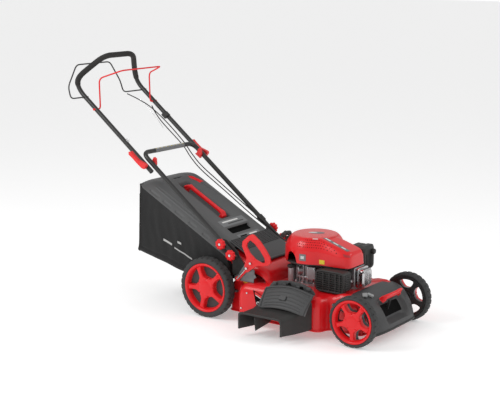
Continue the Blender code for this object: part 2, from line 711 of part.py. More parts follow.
# ---------------------------------------------------------------- engine
def engine_block(parent):
    bottom = DECK_TOP + TOUCH
    bore = SHAFT_RADIUS + RUNNING
    flange = CRANKCASE_FLANGE
    profile = [(bore, bottom), (flange, bottom), (flange, bottom + 0.010), (CRANKCASE_RADIUS, bottom + 0.013),
               (CRANKCASE_RADIUS, CRANKCASE_TOP - 0.008), (CRANKCASE_RADIUS - 0.008, CRANKCASE_TOP),
               (bore, CRANKCASE_TOP)]
    item = node("engine_block", turned(profile, (CRANK_X, 0.0, 0.0), "Z", 20, True), "cast aluminium", parent)
    start = CRANK_X + 0.05
    first_fin = CRANK_X + CRANKCASE_RADIUS + 0.006
    pitch = (BARREL_END - first_fin) / FIN_COUNT
    barrel = [(0.0, start), (BARREL_RADIUS, start), (BARREL_RADIUS, first_fin)]
    for k in range(FIN_COUNT):
        x = first_fin + pitch * k
        barrel += [(FIN_RADIUS, x), (FIN_RADIUS, x + pitch * 0.45), (BARREL_RADIUS, x + pitch * 0.55)]
    barrel += [(BARREL_RADIUS, BARREL_END), (0.0, BARREL_END)]
    join(item, turned(barrel, (0.0, 0.0, CYLINDER_AXIS_Z), "X", 12))
    cut(item, cylinder((CRANK_X, 0.0, 0.0), "Z", bore, 0.15, 0.32, 16))
    join(item, cylinder((OIL_FILLER[0], OIL_FILLER[1], 0.0), "Z", 0.016, DECK_TOP + 0.004, OIL_FILLER[2], 12))
    wide, tall = HEAD_HALF
    low, high = CYLINDER_AXIS_Z - tall, CYLINDER_AXIS_Z + tall
    head = (BARREL_END - 0.002, BARREL_END + HEAD_THICKNESS)
    join(item, box((head[0], -wide, low), (head[1], wide, high), 0.004, 1))
    cover = head[1] + TOUCH
    cover_box = box((cover, 0.008 - wide, low + 0.006), (cover + 0.036, wide - 0.008, high - 0.006), 0.010, 3)
    node("valve_cover", cover_box, "bright steel", parent)


def muffler(parent):
    """The exhaust box at the right of the cylinder, and the guard over it."""
    node("muffler", box((0.548, -0.150, 0.208), (0.652, -0.0525, 0.272), 0.012, 2), "dark steel", parent)
    low = (0.530, -0.164, 0.190)
    high = (0.678, -0.094, 0.2885)
    wall = PLASTIC_WALL
    item = node("muffler_guard", box(low, high, 0.008, 2), "black plastic", parent)
    hollow = box((low[0] + wall, low[1] + wall, low[2] + wall),
                 (high[0] - wall, high[1] + 0.014, high[2] - wall))
    cut(item, hollow)


def crankshaft(parent):
    low = BLADE_Z + BLADE_THICKNESS + 0.008
    profile = [(0.0, low), (SHAFT_RADIUS - 0.001, low), (SHAFT_RADIUS, low + 0.001)]
    profile += pulley_profile(SHAFT_RADIUS)
    profile += [(SHAFT_RADIUS, CRANKCASE_TOP + 0.006), (FLYWHEEL_SEAT, FLYWHEEL_Z - 0.004),
                (FLYWHEEL_SEAT, FLYWHEEL_Z + 0.048), (0.0, FLYWHEEL_Z + 0.048)]
    node("crankshaft", turned(profile, (CRANK_X, 0.0, 0.0), "Z", 16), "bright steel", parent)


def flywheel(parent):
    """The flywheel, whose thick rim hangs below its web."""
    bore = FLYWHEEL_SEAT + TOUCH
    low, web, top = FLYWHEEL_Z, FLYWHEEL_Z + 0.008, FLYWHEEL_Z + 0.030
    inner = FLYWHEEL_RADIUS - 0.012
    profile = [(bore, low), (0.03, low), (0.034, web), (inner, web), (inner, low), (FLYWHEEL_RADIUS, low),
               (FLYWHEEL_RADIUS, top), (0.05, top), (0.04, top + 0.008), (bore, top + 0.008)]
    node("flywheel", turned(profile, (CRANK_X, 0.0, 0.0), "Z", 20, True), "cast aluminium", parent)


def pulley_profile(shaft):
    """The grooved pulley's section, from the shaft below it to the shaft above it."""
    low = BELT_Z - PULLEY_HEIGHT / 2
    high = BELT_Z + PULLEY_HEIGHT / 2
    groove = BELT_WIDTH / 2 + 0.001
    return [(shaft, low), (PULLEY_RADIUS, low), (PULLEY_RADIUS, low + 0.002),
            (PULLEY_GROOVE, BELT_Z - groove), (PULLEY_GROOVE, BELT_Z + groove),
            (PULLEY_RADIUS, high - 0.002), (PULLEY_RADIUS, high), (shaft, high)]


def gearbox_pulley(parent):
    """The driven pulley with its short shaft up into the gearbox."""
    shaft_top = (GEARBOX[0] + GEARBOX[1]) / 2 + 0.003
    profile = pulley_profile(GEAR_SHAFT_RADIUS)
    profile = [(0.0, profile[0][1])] + profile[1:] + [(GEAR_SHAFT_RADIUS, shaft_top), (0.0, shaft_top)]
    node("gearbox_pulley", turned(profile, (GEAR_PULLEY_X, 0.0, 0.0), "Z", 16), "dark steel", parent)


def drive_belt(parent):
    """A loop round both pulleys, as two outlines of straight runs and half circles."""
    def loop(radius, z):
        points = arc((CRANK_X, 0.0), radius, -90, 90, 10) + arc((GEAR_PULLEY_X, 0.0), radius, 90, 270, 10)
        return [(x, y, z) for x, y in points]
    inner = PULLEY_GROOVE + RUNNING
    outer = inner + BELT_THICKNESS
    low, high = BELT_Z - BELT_WIDTH / 2, BELT_Z + BELT_WIDTH / 2
    body = loft([loop(outer, low), loop(outer, high), loop(inner, high), loop(inner, low)], closed=True)
    node("drive_belt", body, "tyre rubber", parent)


def gearbox(parent):
    """The drive gearbox, which the rear axle passes through."""
    low, high = GEARBOX
    bore = AXLE_RADIUS + RUNNING
    rear = REAR_PIVOT[0] - bore - GEARBOX_WALL
    front = GEAR_PULLEY_X + GEAR_SHAFT_RADIUS + 0.019
    item = node("gearbox", box((rear, -0.030, low), (front, 0.030, high), 0.004, 1), "cast aluminium", parent)
    cut(item, cylinder((REAR_PIVOT[0], 0.0, REAR_PIVOT[1]), "Y", bore, -0.05, 0.05, 16))
    shaft_bore = GEAR_SHAFT_RADIUS + RUNNING
    shaft_end = (low + high) / 2 + 0.0045
    cut(item, cylinder((GEAR_PULLEY_X, 0.0, 0.0), "Z", shaft_bore, low - 0.01, shaft_end, 16))


def cutter(parent):
    """The blade and the adapter that holds it on the crankshaft's end, with its bolt."""
    top = BLADE_Z + BLADE_THICKNESS
    half = BLADE_WIDTH / 2
    tip = BLADE_LENGTH / 2
    outline = [(-tip, -half), (tip - 0.03, -half), (tip, -half + 0.02), (tip, half), (-tip + 0.03, half),
               (-tip, half - 0.02)]
    crosswise = [(CRANK_X + y, x) for x, y in outline]
    item = node("cutting_blade", prism(crosswise, BLADE_Z, top, "Z"), "dark steel", parent)
    bolt = BLADE_BOLT_RADIUS
    cut(item, cylinder((CRANK_X, 0.0, 0.0), "Z", bolt + TOUCH, BLADE_Z - 0.01, top + 0.01, 16))
    base = top + TOUCH
    under = BLADE_Z - TOUCH
    socket = SHAFT_RADIUS + TOUCH
    wall = socket + 0.008
    floor = top + 0.0072
    profile = [(0.0, under - 0.009), (0.011, under - 0.009), (0.012, under), (bolt, under), (bolt, base),
               (wall + 0.014, base), (wall + 0.014, base + 0.006), (wall, base + 0.008), (wall, base + 0.033),
               (socket, base + 0.033), (socket, floor), (0.0, floor)]
    node("blade_adapter", turned(profile, (CRANK_X, 0.0, 0.0), "Z", 16), "cast aluminium", parent)


def shroud_outline():
    """Plan of the blower shroud: round behind, with a straight-sided nose over the cylinder."""
    right = math.degrees(math.asin(SHROUD_RIGHT / SHROUD_RADIUS))
    left = math.degrees(math.asin(SHROUD_LEFT / SHROUD_RADIUS))
    points = arc((CRANK_X, 0.0), SHROUD_RADIUS, left + 27, 360 + right, 16)
    points += [(0.58, SHROUD_RIGHT)]
    points += arc((SHROUD_FRONT - 0.03, SHROUD_RIGHT + 0.03), 0.03, 270, 360, 3)
    points += arc((SHROUD_FRONT - 0.02, SHROUD_LEFT - 0.02), 0.02, 0, 90, 2)
    points += [(0.566, SHROUD_LEFT)]
    return points


def blower_shroud(parent):
    """The red fan housing, whose top falls away towards the nose."""
    outline = shroud_outline()
    wall = SHROUD_WALL
    within = inset(outline, wall)

    def ring(points, share, height, fall):
        loop = []
        for x, y in points:
            forward = (x - CRANK_X) * share
            loop.append((CRANK_X + forward, y * share, height - fall * max(0.0, forward - 0.06)))
        return loop
    shoulder = ((1.0, SHROUD_TOP - 0.041, 0.08), (0.985, SHROUD_TOP - 0.022, 0.14),
                (0.93, SHROUD_TOP - 0.007, 0.20), (0.84, SHROUD_TOP, 0.24))
    bore = 0.055
    outer = [ring(outline, 1.0, SHROUD_BOTTOM, 0.0)]
    outer += [ring(outline, share, height, fall) for share, height, fall in shoulder]
    outer.append(bore_loop(bore, SHROUD_TOP, outline))
    inner = [ring(within, 1.0, SHROUD_BOTTOM, 0.0), ring(within, 1.0, shoulder[0][1] - wall / 2, 0.08)]
    inner += [ring(within, share - 0.006, height - wall, fall) for share, height, fall in shoulder[1:]]
    inner.append(bore_loop(bore, SHROUD_TOP - wall, outline))
    node("blower_shroud", loft(outer + inner[::-1], closed=True), "red paint", parent)


def starter_cover(parent):
    base = SHROUD_TOP + TOUCH
    top = base + STARTER_HEIGHT
    radius = STARTER_RADIUS
    profile = [(0.0, base), (radius, base), (radius, top - 0.006), (radius - 0.004, top - 0.001),
               (radius - 0.016, top + 0.001), (0.03, top + 0.004), (0.0, top + 0.005)]
    node("starter_cover", turned(profile, (CRANK_X, 0.0, 0.0), "Z", 32), "red paint", parent)


def air_filter(parent):
    """The air filter's housing with its knob; a seam shows where the cover meets it."""
    low = (0.575, 0.050, 0.250)
    high = (0.655, 0.143, 0.360)
    item = node("air_filter_box", box(low, high, 0.010, 2), "black plastic", parent)
    seam = (high[0] - 0.0335, high[0] - 0.0305)
    cut(item, box((seam[0], low[1] - 0.02, low[2] - 0.02), (seam[1], high[1] + 0.02, high[2] + 0.02)))
    inset_by = 0.0025
    core = box((seam[0] - 0.02, low[1] + inset_by, low[2] + inset_by),
               (seam[1] + 0.015, high[1] - inset_by, high[2] - inset_by), 0.008, 2)
    join(item, core)
    place = (high[0] + TOUCH, 0.118, 0.330)
    axis = empty("air_filter_knob_axis", place, parent)
    profile = [(0.0, 0.0), (0.011, 0.0), (0.012, 0.0075), (0.010, 0.0145), (0.0, 0.0155)]
    node("air_filter_knob", turned(profile, place, "X", 12), "black plastic", axis)


def tank_and_caps(parent):
    tank_top = 0.330
    tank = box((0.352, 0.1415, 0.205), (0.508, 0.200, tank_top), 0.014, 3)
    node("fuel_tank", tank, "black plastic", parent)
    place = (0.392, 0.171, tank_top + TOUCH)
    axis = empty("fuel_cap_axis", place, parent)
    profile = [(0.0, 0.0), (0.021, 0.0), (0.022, 0.0145), (0.019, 0.0175), (0.0, 0.0175)]
    node("fuel_cap", turned(profile, place, "Z", 20), "black plastic", axis)
    place = (OIL_FILLER[0], OIL_FILLER[1], OIL_FILLER[2] + TOUCH)
    axis = empty("oil_cap_axis", place, parent)
    profile = [(0.0, 0.0), (0.017, 0.0), (0.018, 0.010), (0.013, 0.014), (0.0, 0.014)]
    node("oil_cap", turned(profile, place, "Z", 16), "black plastic", axis)


def starter_grip(parent):
    """The pull grip of the recoil starter, just behind the starter cover."""
    x, y, z = 0.306, -0.050, 0.394
    axis = empty("starter_grip_axis", (x, y, z), parent)
    half = 0.024
    path = rounded_path([(x, y - half, z), (x - 0.004, y, z + 0.003), (x, y + half, z)], 0.012, 3)
    node("starter_grip", rod(path, 0.0105, 10), "black plastic", axis)


# ---------------------------------------------------------------- handle
def lower_handle(parent):
    end = 0.128
    wide = LOWER_HALF_WIDTH
    half = [(end, -wide, lower_line(end)), (CROSSBAR_X, -wide, lower_line(CROSSBAR_X))]
    path = rounded_path(mirrored(half), 0.045, 4)
    node("lower_handle", rod(path, TUBE_RADIUS, TUBE_SIDES), "black tube", parent)


def loop_points():
    """The right half of the upper handle, from its lower end to the middle of the hand loop."""
    wide = UPPER_HALF_WIDTH
    end = CAM_X + 0.020
    return [(end, -wide, upper_line(end)), (UPPER_TOP_X, -wide, upper_line(UPPER_TOP_X)),
            (-0.808, -wide + 0.002, 1.052), (-0.724, -LOOP_HALF_WIDTH, 1.157)]


def upper_handle(parent):
    path = rounded_path(mirrored(loop_points()), 0.038, 3)
    node("upper_handle", rod(path, TUBE_RADIUS, TUBE_SIDES), "black tube", parent)
    # the grip follows the handle's own path above the place where it starts
    inside = [point for point in path if point[2] > GRIP_FROM_Z]
    grip = sleeve(inside, TUBE_RADIUS + TOUCH, TUBE_RADIUS + GRIP_WALL, TUBE_SIDES)
    node("handle_grip", grip, "foam grip", parent)


def bail(name, points, pivot_x, finish, parent):
    axis = empty(name + "_axis", (pivot_x, 0.0, upper_line(pivot_x)), parent)
    path = rounded_path(mirrored(points), 0.018, 3)
    node(name, rod(path, BAIL_RADIUS, 6), finish, axis)


def bails(parent):
    inner = UPPER_HALF_WIDTH - TUBE_RADIUS - 0.0005
    x = ENGINE_BAIL_X
    z = upper_line(x)
    points = [(x, -inner, z), (x, -inner + 0.011, z), (x - 0.118, -inner + 0.011, z - 0.018),
              (x - 0.136, -inner + 0.014, z + 0.040), (x - 0.143, -0.122, z + 0.142)]
    bail("engine_bail", points, x, "black tube", parent)
    x = DRIVE_BAIL_X
    z = upper_line(x)
    points = [(x, -inner, z), (x, -inner + 0.019, z), (x - 0.004, -inner + 0.019, z + 0.145),
              (x + 0.108, -0.145, z + 0.186)]
    bail("drive_bail", points, x, "red plastic", parent)


def handle_direction():
    """Unit vector up along the handle, and the one across it, both in the x-z plane."""
    along = Vector((-math.cos(HANDLE_SLOPE), math.sin(HANDLE_SLOPE)))
    return along, Vector((math.sin(HANDLE_SLOPE), math.cos(HANDLE_SLOPE)))


def cam_lever(side, parent):
    """The quick-release lever outside the joint between the two handle parts."""
    name = "cam_lever_" + ("left" if side > 0 else "right")
    along, across = handle_direction()
    centre = Vector(cam_axis())
    face = UPPER_HALF_WIDTH + TUBE_RADIUS + 0.001
    axis = empty(name + "_axis", (centre.x, side * (face + CAM_THICKNESS / 2), centre.y), parent)

    def spot(u, w):
        return tuple(centre + along * u + across * w)
    outline = [spot(-0.0035, -0.012), spot(-0.0035, 0.006), spot(0.003, 0.012), spot(0.014, 0.010),
               spot(0.050, -0.004), spot(0.090, -0.004), spot(0.108, -0.002), spot(0.115, -0.012),
               spot(0.106, -0.022), spot(0.090, -0.020), spot(0.050, -0.020), spot(0.010, -0.018)]
    node(name, prism(outline, side * face, side * (face + CAM_THICKNESS), "Y"), "red plastic", axis)


def cam_clamp(side, parent):
    """The saddle inside the lower tube that the quick-release lever pulls tight."""
    name = "cam_clamp_" + ("left" if side > 0 else "right")
    along, across = handle_direction()
    centre = Vector((CAM_X, lower_line(CAM_X)))

    def spot(u, w):
        return tuple(centre + along * u + across * w)
    outline = [spot(-0.020, -0.013), spot(-0.014, 0.004), spot(0.004, 0.024), spot(0.016, 0.022),
               spot(0.012, -0.006), spot(0.016, -0.016)]
    inner = LOWER_HALF_WIDTH - TUBE_RADIUS - TOUCH
    node(name, prism(outline, side * inner, side * (inner - 0.013), "Y"), "red plastic", parent)


def star_knob(side, number, parent):
    name = "star_knob_" + ("left_" if side > 0 else "right_") + str(number)
    x = LOWER_BOLTS[number - 1][0]
    z = lower_line(x)
    start = LOWER_HALF_WIDTH + TUBE_RADIUS + TOUCH
    axis = empty(name + "_axis", (x, side * (start + KNOB_THICKNESS / 2), z), parent)
    sections = []
    for share, along in ((0.45, 0.0), (0.92, 0.005), (1.0, 0.016), (0.9, KNOB_THICKNESS)):
        loop = []
        for k in range(KNOB_LOBES * 3):
            angle = 2 * math.pi * k / (KNOB_LOBES * 3)
            wave = 0.07 * math.cos(KNOB_LOBES * angle) if share > 0.5 else 0.0
            radius = KNOB_RADIUS * share * (1 + wave)
            loop.append((x + radius * math.cos(angle), side * (start + along), z + radius * math.sin(angle)))
        sections.append(loop)
    node(name, loft(sections), "red plastic", axis)


def cable(name, points, parent):
    """A control cable: a tube along a smooth curve through its own route."""
    points = np.array(points, float)
    lengths = np.linalg.norm(np.diff(points, axis=0), axis=1)
    spacing = np.concatenate([[0.0], np.cumsum(lengths)])
    ends = np.vstack([points[:1], points, points[-1:]])
    slopes = (ends[2:] - ends[:-2]) / 2
    smooth = []
    for s in np.linspace(0.0, spacing[-1], CABLE_POINTS):
        k = min(max(int(np.searchsorted(spacing, s)) - 1, 0), len(points) - 2)
        t = (s - spacing[k]) / lengths[k]
        start = (2 * t ** 3 - 3 * t ** 2 + 1) * points[k] + (t ** 3 - 2 * t ** 2 + t) * slopes[k]
        end = (3 * t ** 2 - 2 * t ** 3) * points[k + 1] + (t ** 3 - t ** 2) * slopes[k + 1]
        smooth.append(start + end)
    curve = bpy.data.curves.new(name, "CURVE")
    curve.dimensions = "3D"
    curve.bevel_depth = CABLE_RADIUS
    curve.bevel_resolution = 2
    curve.use_fill_caps = True
    spline = curve.splines.new("POLY")
    spline.points.add(len(smooth) - 1)
    base = np.array(parent.matrix_world.translation)
    for slot, point in zip(spline.points, smooth):
        slot.co = (*(point - base), 1.0)
    curve.materials.append(material("cable sheath"))
    item = bpy.data.objects.new(name, curve)
    link(item, parent)


def cables(parent):
    """The two control cables, held along the inside of the left handle tubes."""
    # engine stop: from the bail's left leg past the clip on the tube, down to the engine's rear
    cable("engine_stop_cable", [
        (-0.845, 0.196, 0.938), (-0.770, 0.194, 0.915), (-0.690, 0.196, 0.880), (-0.590, 0.198, 0.812),
        (-0.480, 0.196, 0.722), (-0.400, 0.165, 0.668), (-0.330, 0.159, 0.612), (-0.200, 0.172, 0.520),
        (-0.050, 0.173, 0.426), (0.060, 0.167, 0.364), (0.130, 0.166, 0.315), (0.190, 0.171, 0.290),
        (0.246, 0.166, 0.287), (0.279, 0.120, 0.303), (0.290, 0.064, 0.314),
    ], parent)
    # drive: from below the drive bail's left foot, beside the first cable, down into the tunnel's slope
    cable("drive_cable", [
        (-0.674, 0.187, 0.889), (-0.648, 0.186, 0.852), (-0.600, 0.188, 0.802), (-0.480, 0.188, 0.706),
        (-0.400, 0.157, 0.650), (-0.330, 0.153, 0.594), (-0.200, 0.166, 0.505), (-0.050, 0.167, 0.410),
        (0.060, 0.166, 0.349), (0.130, 0.166, 0.303), (0.190, 0.166, 0.278), (0.236, 0.162, 0.260),
        (0.262, 0.140, 0.244), (0.270, 0.124, 0.228), (0.272, 0.121, 0.211),
    ], parent)


# ---------------------------------------------------------------- grass bag
def lid_point(u, v, w):
    """A place on the lid: u forward along its slope, v to the left, w up from its edge."""
    x = LID_REAR[0] + u * math.cos(LID_SLOPE) + w * math.sin(LID_SLOPE)
    z = LID_REAR[1] - u * math.sin(LID_SLOPE) + w * math.cos(LID_SLOPE)
    return x, v, z


def lid_section(u, half, rise, flat):
    """One cross-section of the lid, from the right edge over the top and back underneath."""
    top = []
    for k in range(13):
        v = half * (2 * k / 12 - 1)
        side = min(max((half - abs(v)) / max(half - flat, 1e-6), 0.0), 1.0)
        lift = rise * math.sin(side * math.pi / 2)
        top.append(lid_point(u, v, LID_RIM + lift))
    under = [lid_point(u, -v, 0.0) for v in (-half, -half / 2, 0.0, half / 2, half)]
    return top + under


def bag_lid(parent):
    half = BAG_HALF_WIDTH + 0.002
    flat = LID_FLAT_HALF_WIDTH
    sections = [lid_section(0.0, half - 0.045, 0.006, flat * 0.75),
                lid_section(0.012, half - 0.018, 0.020, flat * 0.9),
                lid_section(0.045, half, 0.038, flat), lid_section(0.090, half, LID_RISE, flat),
                lid_section(0.300, half, LID_RISE, flat),
                lid_section(LID_LENGTH - 0.060, half, LID_RISE, flat),
                lid_section(LID_LENGTH, half - 0.020, LID_RISE - 0.006, flat * 0.9)]
    item = node("bag_lid", loft(sections), "grey plastic", parent)
    # the hand recess under the carrying bar
    top = LID_RIM + LID_RISE

    def loop(rear, front, half_width, height):
        corners = ((rear, -half_width), (front, -half_width), (front, half_width), (rear, half_width))
        return [lid_point(u, v, height) for u, v in corners]
    floor = loop(RECESS[0] + RECESS_SLOPE, RECESS[1] - RECESS_SLOPE, 0.030, top - RECESS_DEPTH)
    mouth = loop(RECESS[0] - RECESS_SLOPE / 2, RECESS[1] + RECESS_SLOPE / 2, 0.050, top + RECESS_DEPTH / 2)
    cut(item, loft([floor, mouth]))


def bag_handle(parent):
    """The carrying bar that spans the lid's recess."""
    top = LID_RIM + LID_RISE + BAG_HANDLE_RISE
    floor = LID_RIM + LID_RISE - RECESS_DEPTH + TOUCH
    room = RECESS_SLOPE + BAG_HANDLE_RADIUS + 0.003
    rear, front = RECESS[0] + room, RECESS[1] - room
    points = [lid_point(rear, 0.0, floor), lid_point(rear, 0.0, top), lid_point(front, 0.0, top),
              lid_point(front, 0.0, floor)]
    node("bag_handle", rod(rounded_path(points, 0.016, 3), BAG_HANDLE_RADIUS, 10), "red plastic", parent)


def bag_fabric(parent):
    """The cloth bag: closed behind, at the sides and below, open under the lid and at the mouth."""
    gap = TOUCH
    rear = lid_point(0.012, 0.0, -gap)
    front_x = BAG_FRONT
    front_top = LID_REAR[1] - (front_x - LID_REAR[0]) * math.tan(LID_SLOPE) - gap / math.cos(LID_SLOPE)
    outline = [(rear[0], rear[2]), (-0.440, 0.400), (-0.446, 0.262), (-0.458, 0.2415), (-0.300, 0.197),
               (-0.185, 0.166), (front_x, 0.170), (front_x, front_top)]
    half = BAG_HALF_WIDTH
    item = node("bag_fabric", prism(outline, -half, half, "Y"), "bag fabric", parent)
    wall = BAG_WALL
    inside = [(rear[0] + wall, rear[2] + 0.02), (-0.440 + wall, 0.400), (-0.446 + wall, 0.262),
              (-0.446 + wall, 0.2415 + wall), (-0.300, 0.197 + wall), (-0.185, 0.166 + wall),
              (front_x - wall, 0.170 + wall), (front_x - wall, front_top + 0.03)]
    cut(item, prism(inside, -half + wall, half - wall, "Y"))
    cut(item, box((front_x - 0.02, -0.140, 0.195), (front_x + 0.02, 0.140, front_top - 0.012)))


# ---------------------------------------------------------------- assembly
def build():
    deck_shell(ROOT)
    tunnel(ROOT)
    front_cover(ROOT)
    front_grab_handle(ROOT)
    side_flap(ROOT)
    side_flap_bracket(ROOT)
    side_chute(ROOT)
    height_quadrant(ROOT)
    height_lever(ROOT)
    rear_flap(ROOT)
    rear_place = (0.0, REAR_TYRE_RADIUS)
    front_place = (WHEELBASE, FRONT_TYRE_RADIUS)
    rear_axle, rear_tip = cranked_axle("rear_axle", REAR_PIVOT, rear_place, False, RUNNING, ROOT)
    front_axle, front_tip = cranked_axle("front_axle", FRONT_PIVOT, front_place, True, LINK_SLACK, ROOT)
    link_rod(rear_tip, front_tip, rear_axle)
    for side in (-1, 1):
        wheel(rear_place, side, True, 41.0, rear_axle)
        wheel(front_place, side, False, -90.0, front_axle)
        handle_bracket(side, ROOT)
        cam_lever(side, ROOT)
        cam_clamp(side, ROOT)
        for number in (1, 2):
            star_knob(side, number, ROOT)
    engine_block(ROOT)
    muffler(ROOT)
    blower_shroud(ROOT)
    starter_cover(ROOT)
    air_filter(ROOT)
    tank_and_caps(ROOT)
    starter_grip(ROOT)
    gearbox(ROOT)
    drive_belt(ROOT)
    crank = empty("crank_axis", (CRANK_X, 0.0, BELT_Z), ROOT)
    crankshaft(crank)
    flywheel(crank)
    cutter(crank)
    gear = empty("gearbox_pulley_axis", (GEAR_PULLEY_X, 0.0, BELT_Z), ROOT)
    gearbox_pulley(gear)
    lower_handle(ROOT)
    cam_x, cam_z = cam_axis()
    fold = empty("upper_handle_axis", (cam_x, 0.0, cam_z), ROOT)
    upper_handle(fold)
    bails(fold)
    cables(ROOT)
    bag_fabric(ROOT)
    bag_lid(ROOT)
    bag_handle(ROOT)


def centre_on_ground():
    """Move the root so that the middle of the mower's box stands on the origin."""
    bpy.context.view_layer.update()
    depsgraph = bpy.context.evaluated_depsgraph_get()
    corners = []
    for item in bpy.data.objects:
        if item.type not in ("MESH", "CURVE") or item.hide_render:
            continue
        shown = item.evaluated_get(depsgraph)
        mesh = shown.to_mesh()
        places = np.empty(len(mesh.vertices) * 3)
        mesh.vertices.foreach_get("co", places)
        world = np.array(item.matrix_world)
        corners.append(places.reshape(-1, 3) @ world[:3, :3].T + world[:3, 3])
        shown.to_mesh_clear()
    low = np.min([c.min(axis=0) for c in corners], axis=0)
    high = np.max([c.max(axis=0) for c in corners], axis=0)
    ROOT.location = (-(low[0] + high[0]) / 2, -(low[1] + high[1]) / 2, -low[2])
    bpy.context.view_layer.update()


clear_scene()
ROOT = empty("mower_root", (0.0, 0.0, 0.0))
build()
centre_on_ground()
shown = [item for item in bpy.data.objects if item.type in ("MESH", "CURVE") and not item.hide_render]
print("nodes:", len(shown))
print("root moved to", tuple(round(value, 6) for value in ROOT.location))
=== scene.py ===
# Petrol lawn mower: the looks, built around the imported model.
# Pieces are worked out in the mower's own axes: x forward from the rear wheels, y to its left, z up.
import json
import math

import bmesh
import bpy
import numpy as np
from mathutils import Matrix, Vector


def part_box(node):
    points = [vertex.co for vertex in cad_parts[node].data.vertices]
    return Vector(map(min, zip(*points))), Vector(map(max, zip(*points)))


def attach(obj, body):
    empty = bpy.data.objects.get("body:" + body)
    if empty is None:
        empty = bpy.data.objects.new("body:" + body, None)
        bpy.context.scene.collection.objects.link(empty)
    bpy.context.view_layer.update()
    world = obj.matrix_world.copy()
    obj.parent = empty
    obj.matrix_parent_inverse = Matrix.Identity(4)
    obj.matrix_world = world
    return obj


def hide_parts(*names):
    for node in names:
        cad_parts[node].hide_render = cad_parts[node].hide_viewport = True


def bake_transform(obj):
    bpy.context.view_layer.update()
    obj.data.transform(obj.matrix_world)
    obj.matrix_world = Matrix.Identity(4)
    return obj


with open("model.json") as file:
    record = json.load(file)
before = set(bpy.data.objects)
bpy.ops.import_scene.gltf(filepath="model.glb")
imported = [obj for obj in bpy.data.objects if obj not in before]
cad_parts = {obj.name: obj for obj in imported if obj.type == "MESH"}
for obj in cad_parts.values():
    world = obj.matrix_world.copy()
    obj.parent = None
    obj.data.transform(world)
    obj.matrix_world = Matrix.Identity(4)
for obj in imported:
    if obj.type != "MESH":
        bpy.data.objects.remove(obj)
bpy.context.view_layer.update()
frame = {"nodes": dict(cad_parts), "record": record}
nodes = frame["nodes"]
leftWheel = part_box("rear_left_tyre")
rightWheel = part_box("rear_right_tyre")
shift = np.array([(leftWheel[0].x + leftWheel[1].x) / 2, (leftWheel[1].y + rightWheel[0].y) / 2, 0.0])
print("frame loaded:", len(nodes), "nodes")


def newGroup(name, inputs, outputs):
    group = bpy.data.node_groups.new(name, "ShaderNodeTree")
    for label, kind, value in inputs:
        socket = group.interface.new_socket(label, in_out="INPUT", socket_type=kind)
        if value is not None:
            socket.default_value = value
    for label, kind in outputs:
        group.interface.new_socket(label, in_out="OUTPUT", socket_type=kind)
    return group, group.nodes.new("NodeGroupInput"), group.nodes.new("NodeGroupOutput")


def addNode(tree, kind, **settings):
    made = tree.nodes.new(kind)
    for key, value in settings.items():
        setattr(made, key, value)
    return made


def maths(tree, operation, first, second):
    made = addNode(tree, "ShaderNodeMath", operation=operation)
    for slot, value in zip(made.inputs, (first, second)):
        if isinstance(value, (int, float)):
            slot.default_value = value
        else:
            tree.links.new(value, slot)
    return made.outputs[0]


def mixColours(tree, factor, first, second):
    made = addNode(tree, "ShaderNodeMix", data_type="RGBA")
    for slot, value in ((made.inputs[0], factor), (made.inputs[6], first), (made.inputs[7], second)):
        if isinstance(value, (int, float, tuple)):
            slot.default_value = value
        else:
            tree.links.new(value, slot)
    return made.outputs[2]


floatKind, colourKind, vectorKind = "NodeSocketFloat", "NodeSocketColor", "NodeSocketVector"


# uneven finish: slow clouds change the colour and the roughness, fine grain lifts the surface
def makeFinishGroup():
    group, start, end = newGroup("unevenFinish", [
        ("Vector", vectorKind, None), ("Colour", colourKind, (0.5, 0.5, 0.5, 1)), ("Dust", colourKind, (0.4, 0.38, 0.35, 1)),
        ("Dust Amount", floatKind, 0.05), ("Roughness", floatKind, 0.4), ("Roughness Spread", floatKind, 0.08),
        ("Cloud Scale", floatKind, 9.0), ("Grain Scale", floatKind, 400.0), ("Grain Depth", floatKind, 0.15)],
        [("Colour", colourKind), ("Roughness", floatKind), ("Normal", vectorKind), ("Clouds", floatKind)])
    clouds = addNode(group, "ShaderNodeTexNoise")
    clouds.inputs["Detail"].default_value = 5.0
    grain = addNode(group, "ShaderNodeTexNoise")
    grain.inputs["Detail"].default_value = 3.0
    bump = addNode(group, "ShaderNodeBump")
    bump.inputs["Distance"].default_value = 0.0006
    group.links.new(start.outputs["Vector"], clouds.inputs["Vector"])
    group.links.new(start.outputs["Vector"], grain.inputs["Vector"])
    group.links.new(start.outputs["Cloud Scale"], clouds.inputs["Scale"])
    group.links.new(start.outputs["Grain Scale"], grain.inputs["Scale"])
    dust = maths(group, "MULTIPLY", clouds.outputs["Fac"], start.outputs["Dust Amount"])
    colour = mixColours(group, dust, start.outputs["Colour"], start.outputs["Dust"])
    offset = maths(group, "MULTIPLY", maths(group, "SUBTRACT", clouds.outputs["Fac"], 0.5),
                   start.outputs["Roughness Spread"])
    group.links.new(colour, end.inputs["Colour"])
    group.links.new(maths(group, "ADD", start.outputs["Roughness"], offset), end.inputs["Roughness"])
    group.links.new(grain.outputs["Fac"], bump.inputs["Height"])
    group.links.new(start.outputs["Grain Depth"], bump.inputs["Strength"])
    group.links.new(bump.outputs["Normal"], end.inputs["Normal"])
    group.links.new(clouds.outputs["Fac"], end.inputs["Clouds"])
    return group


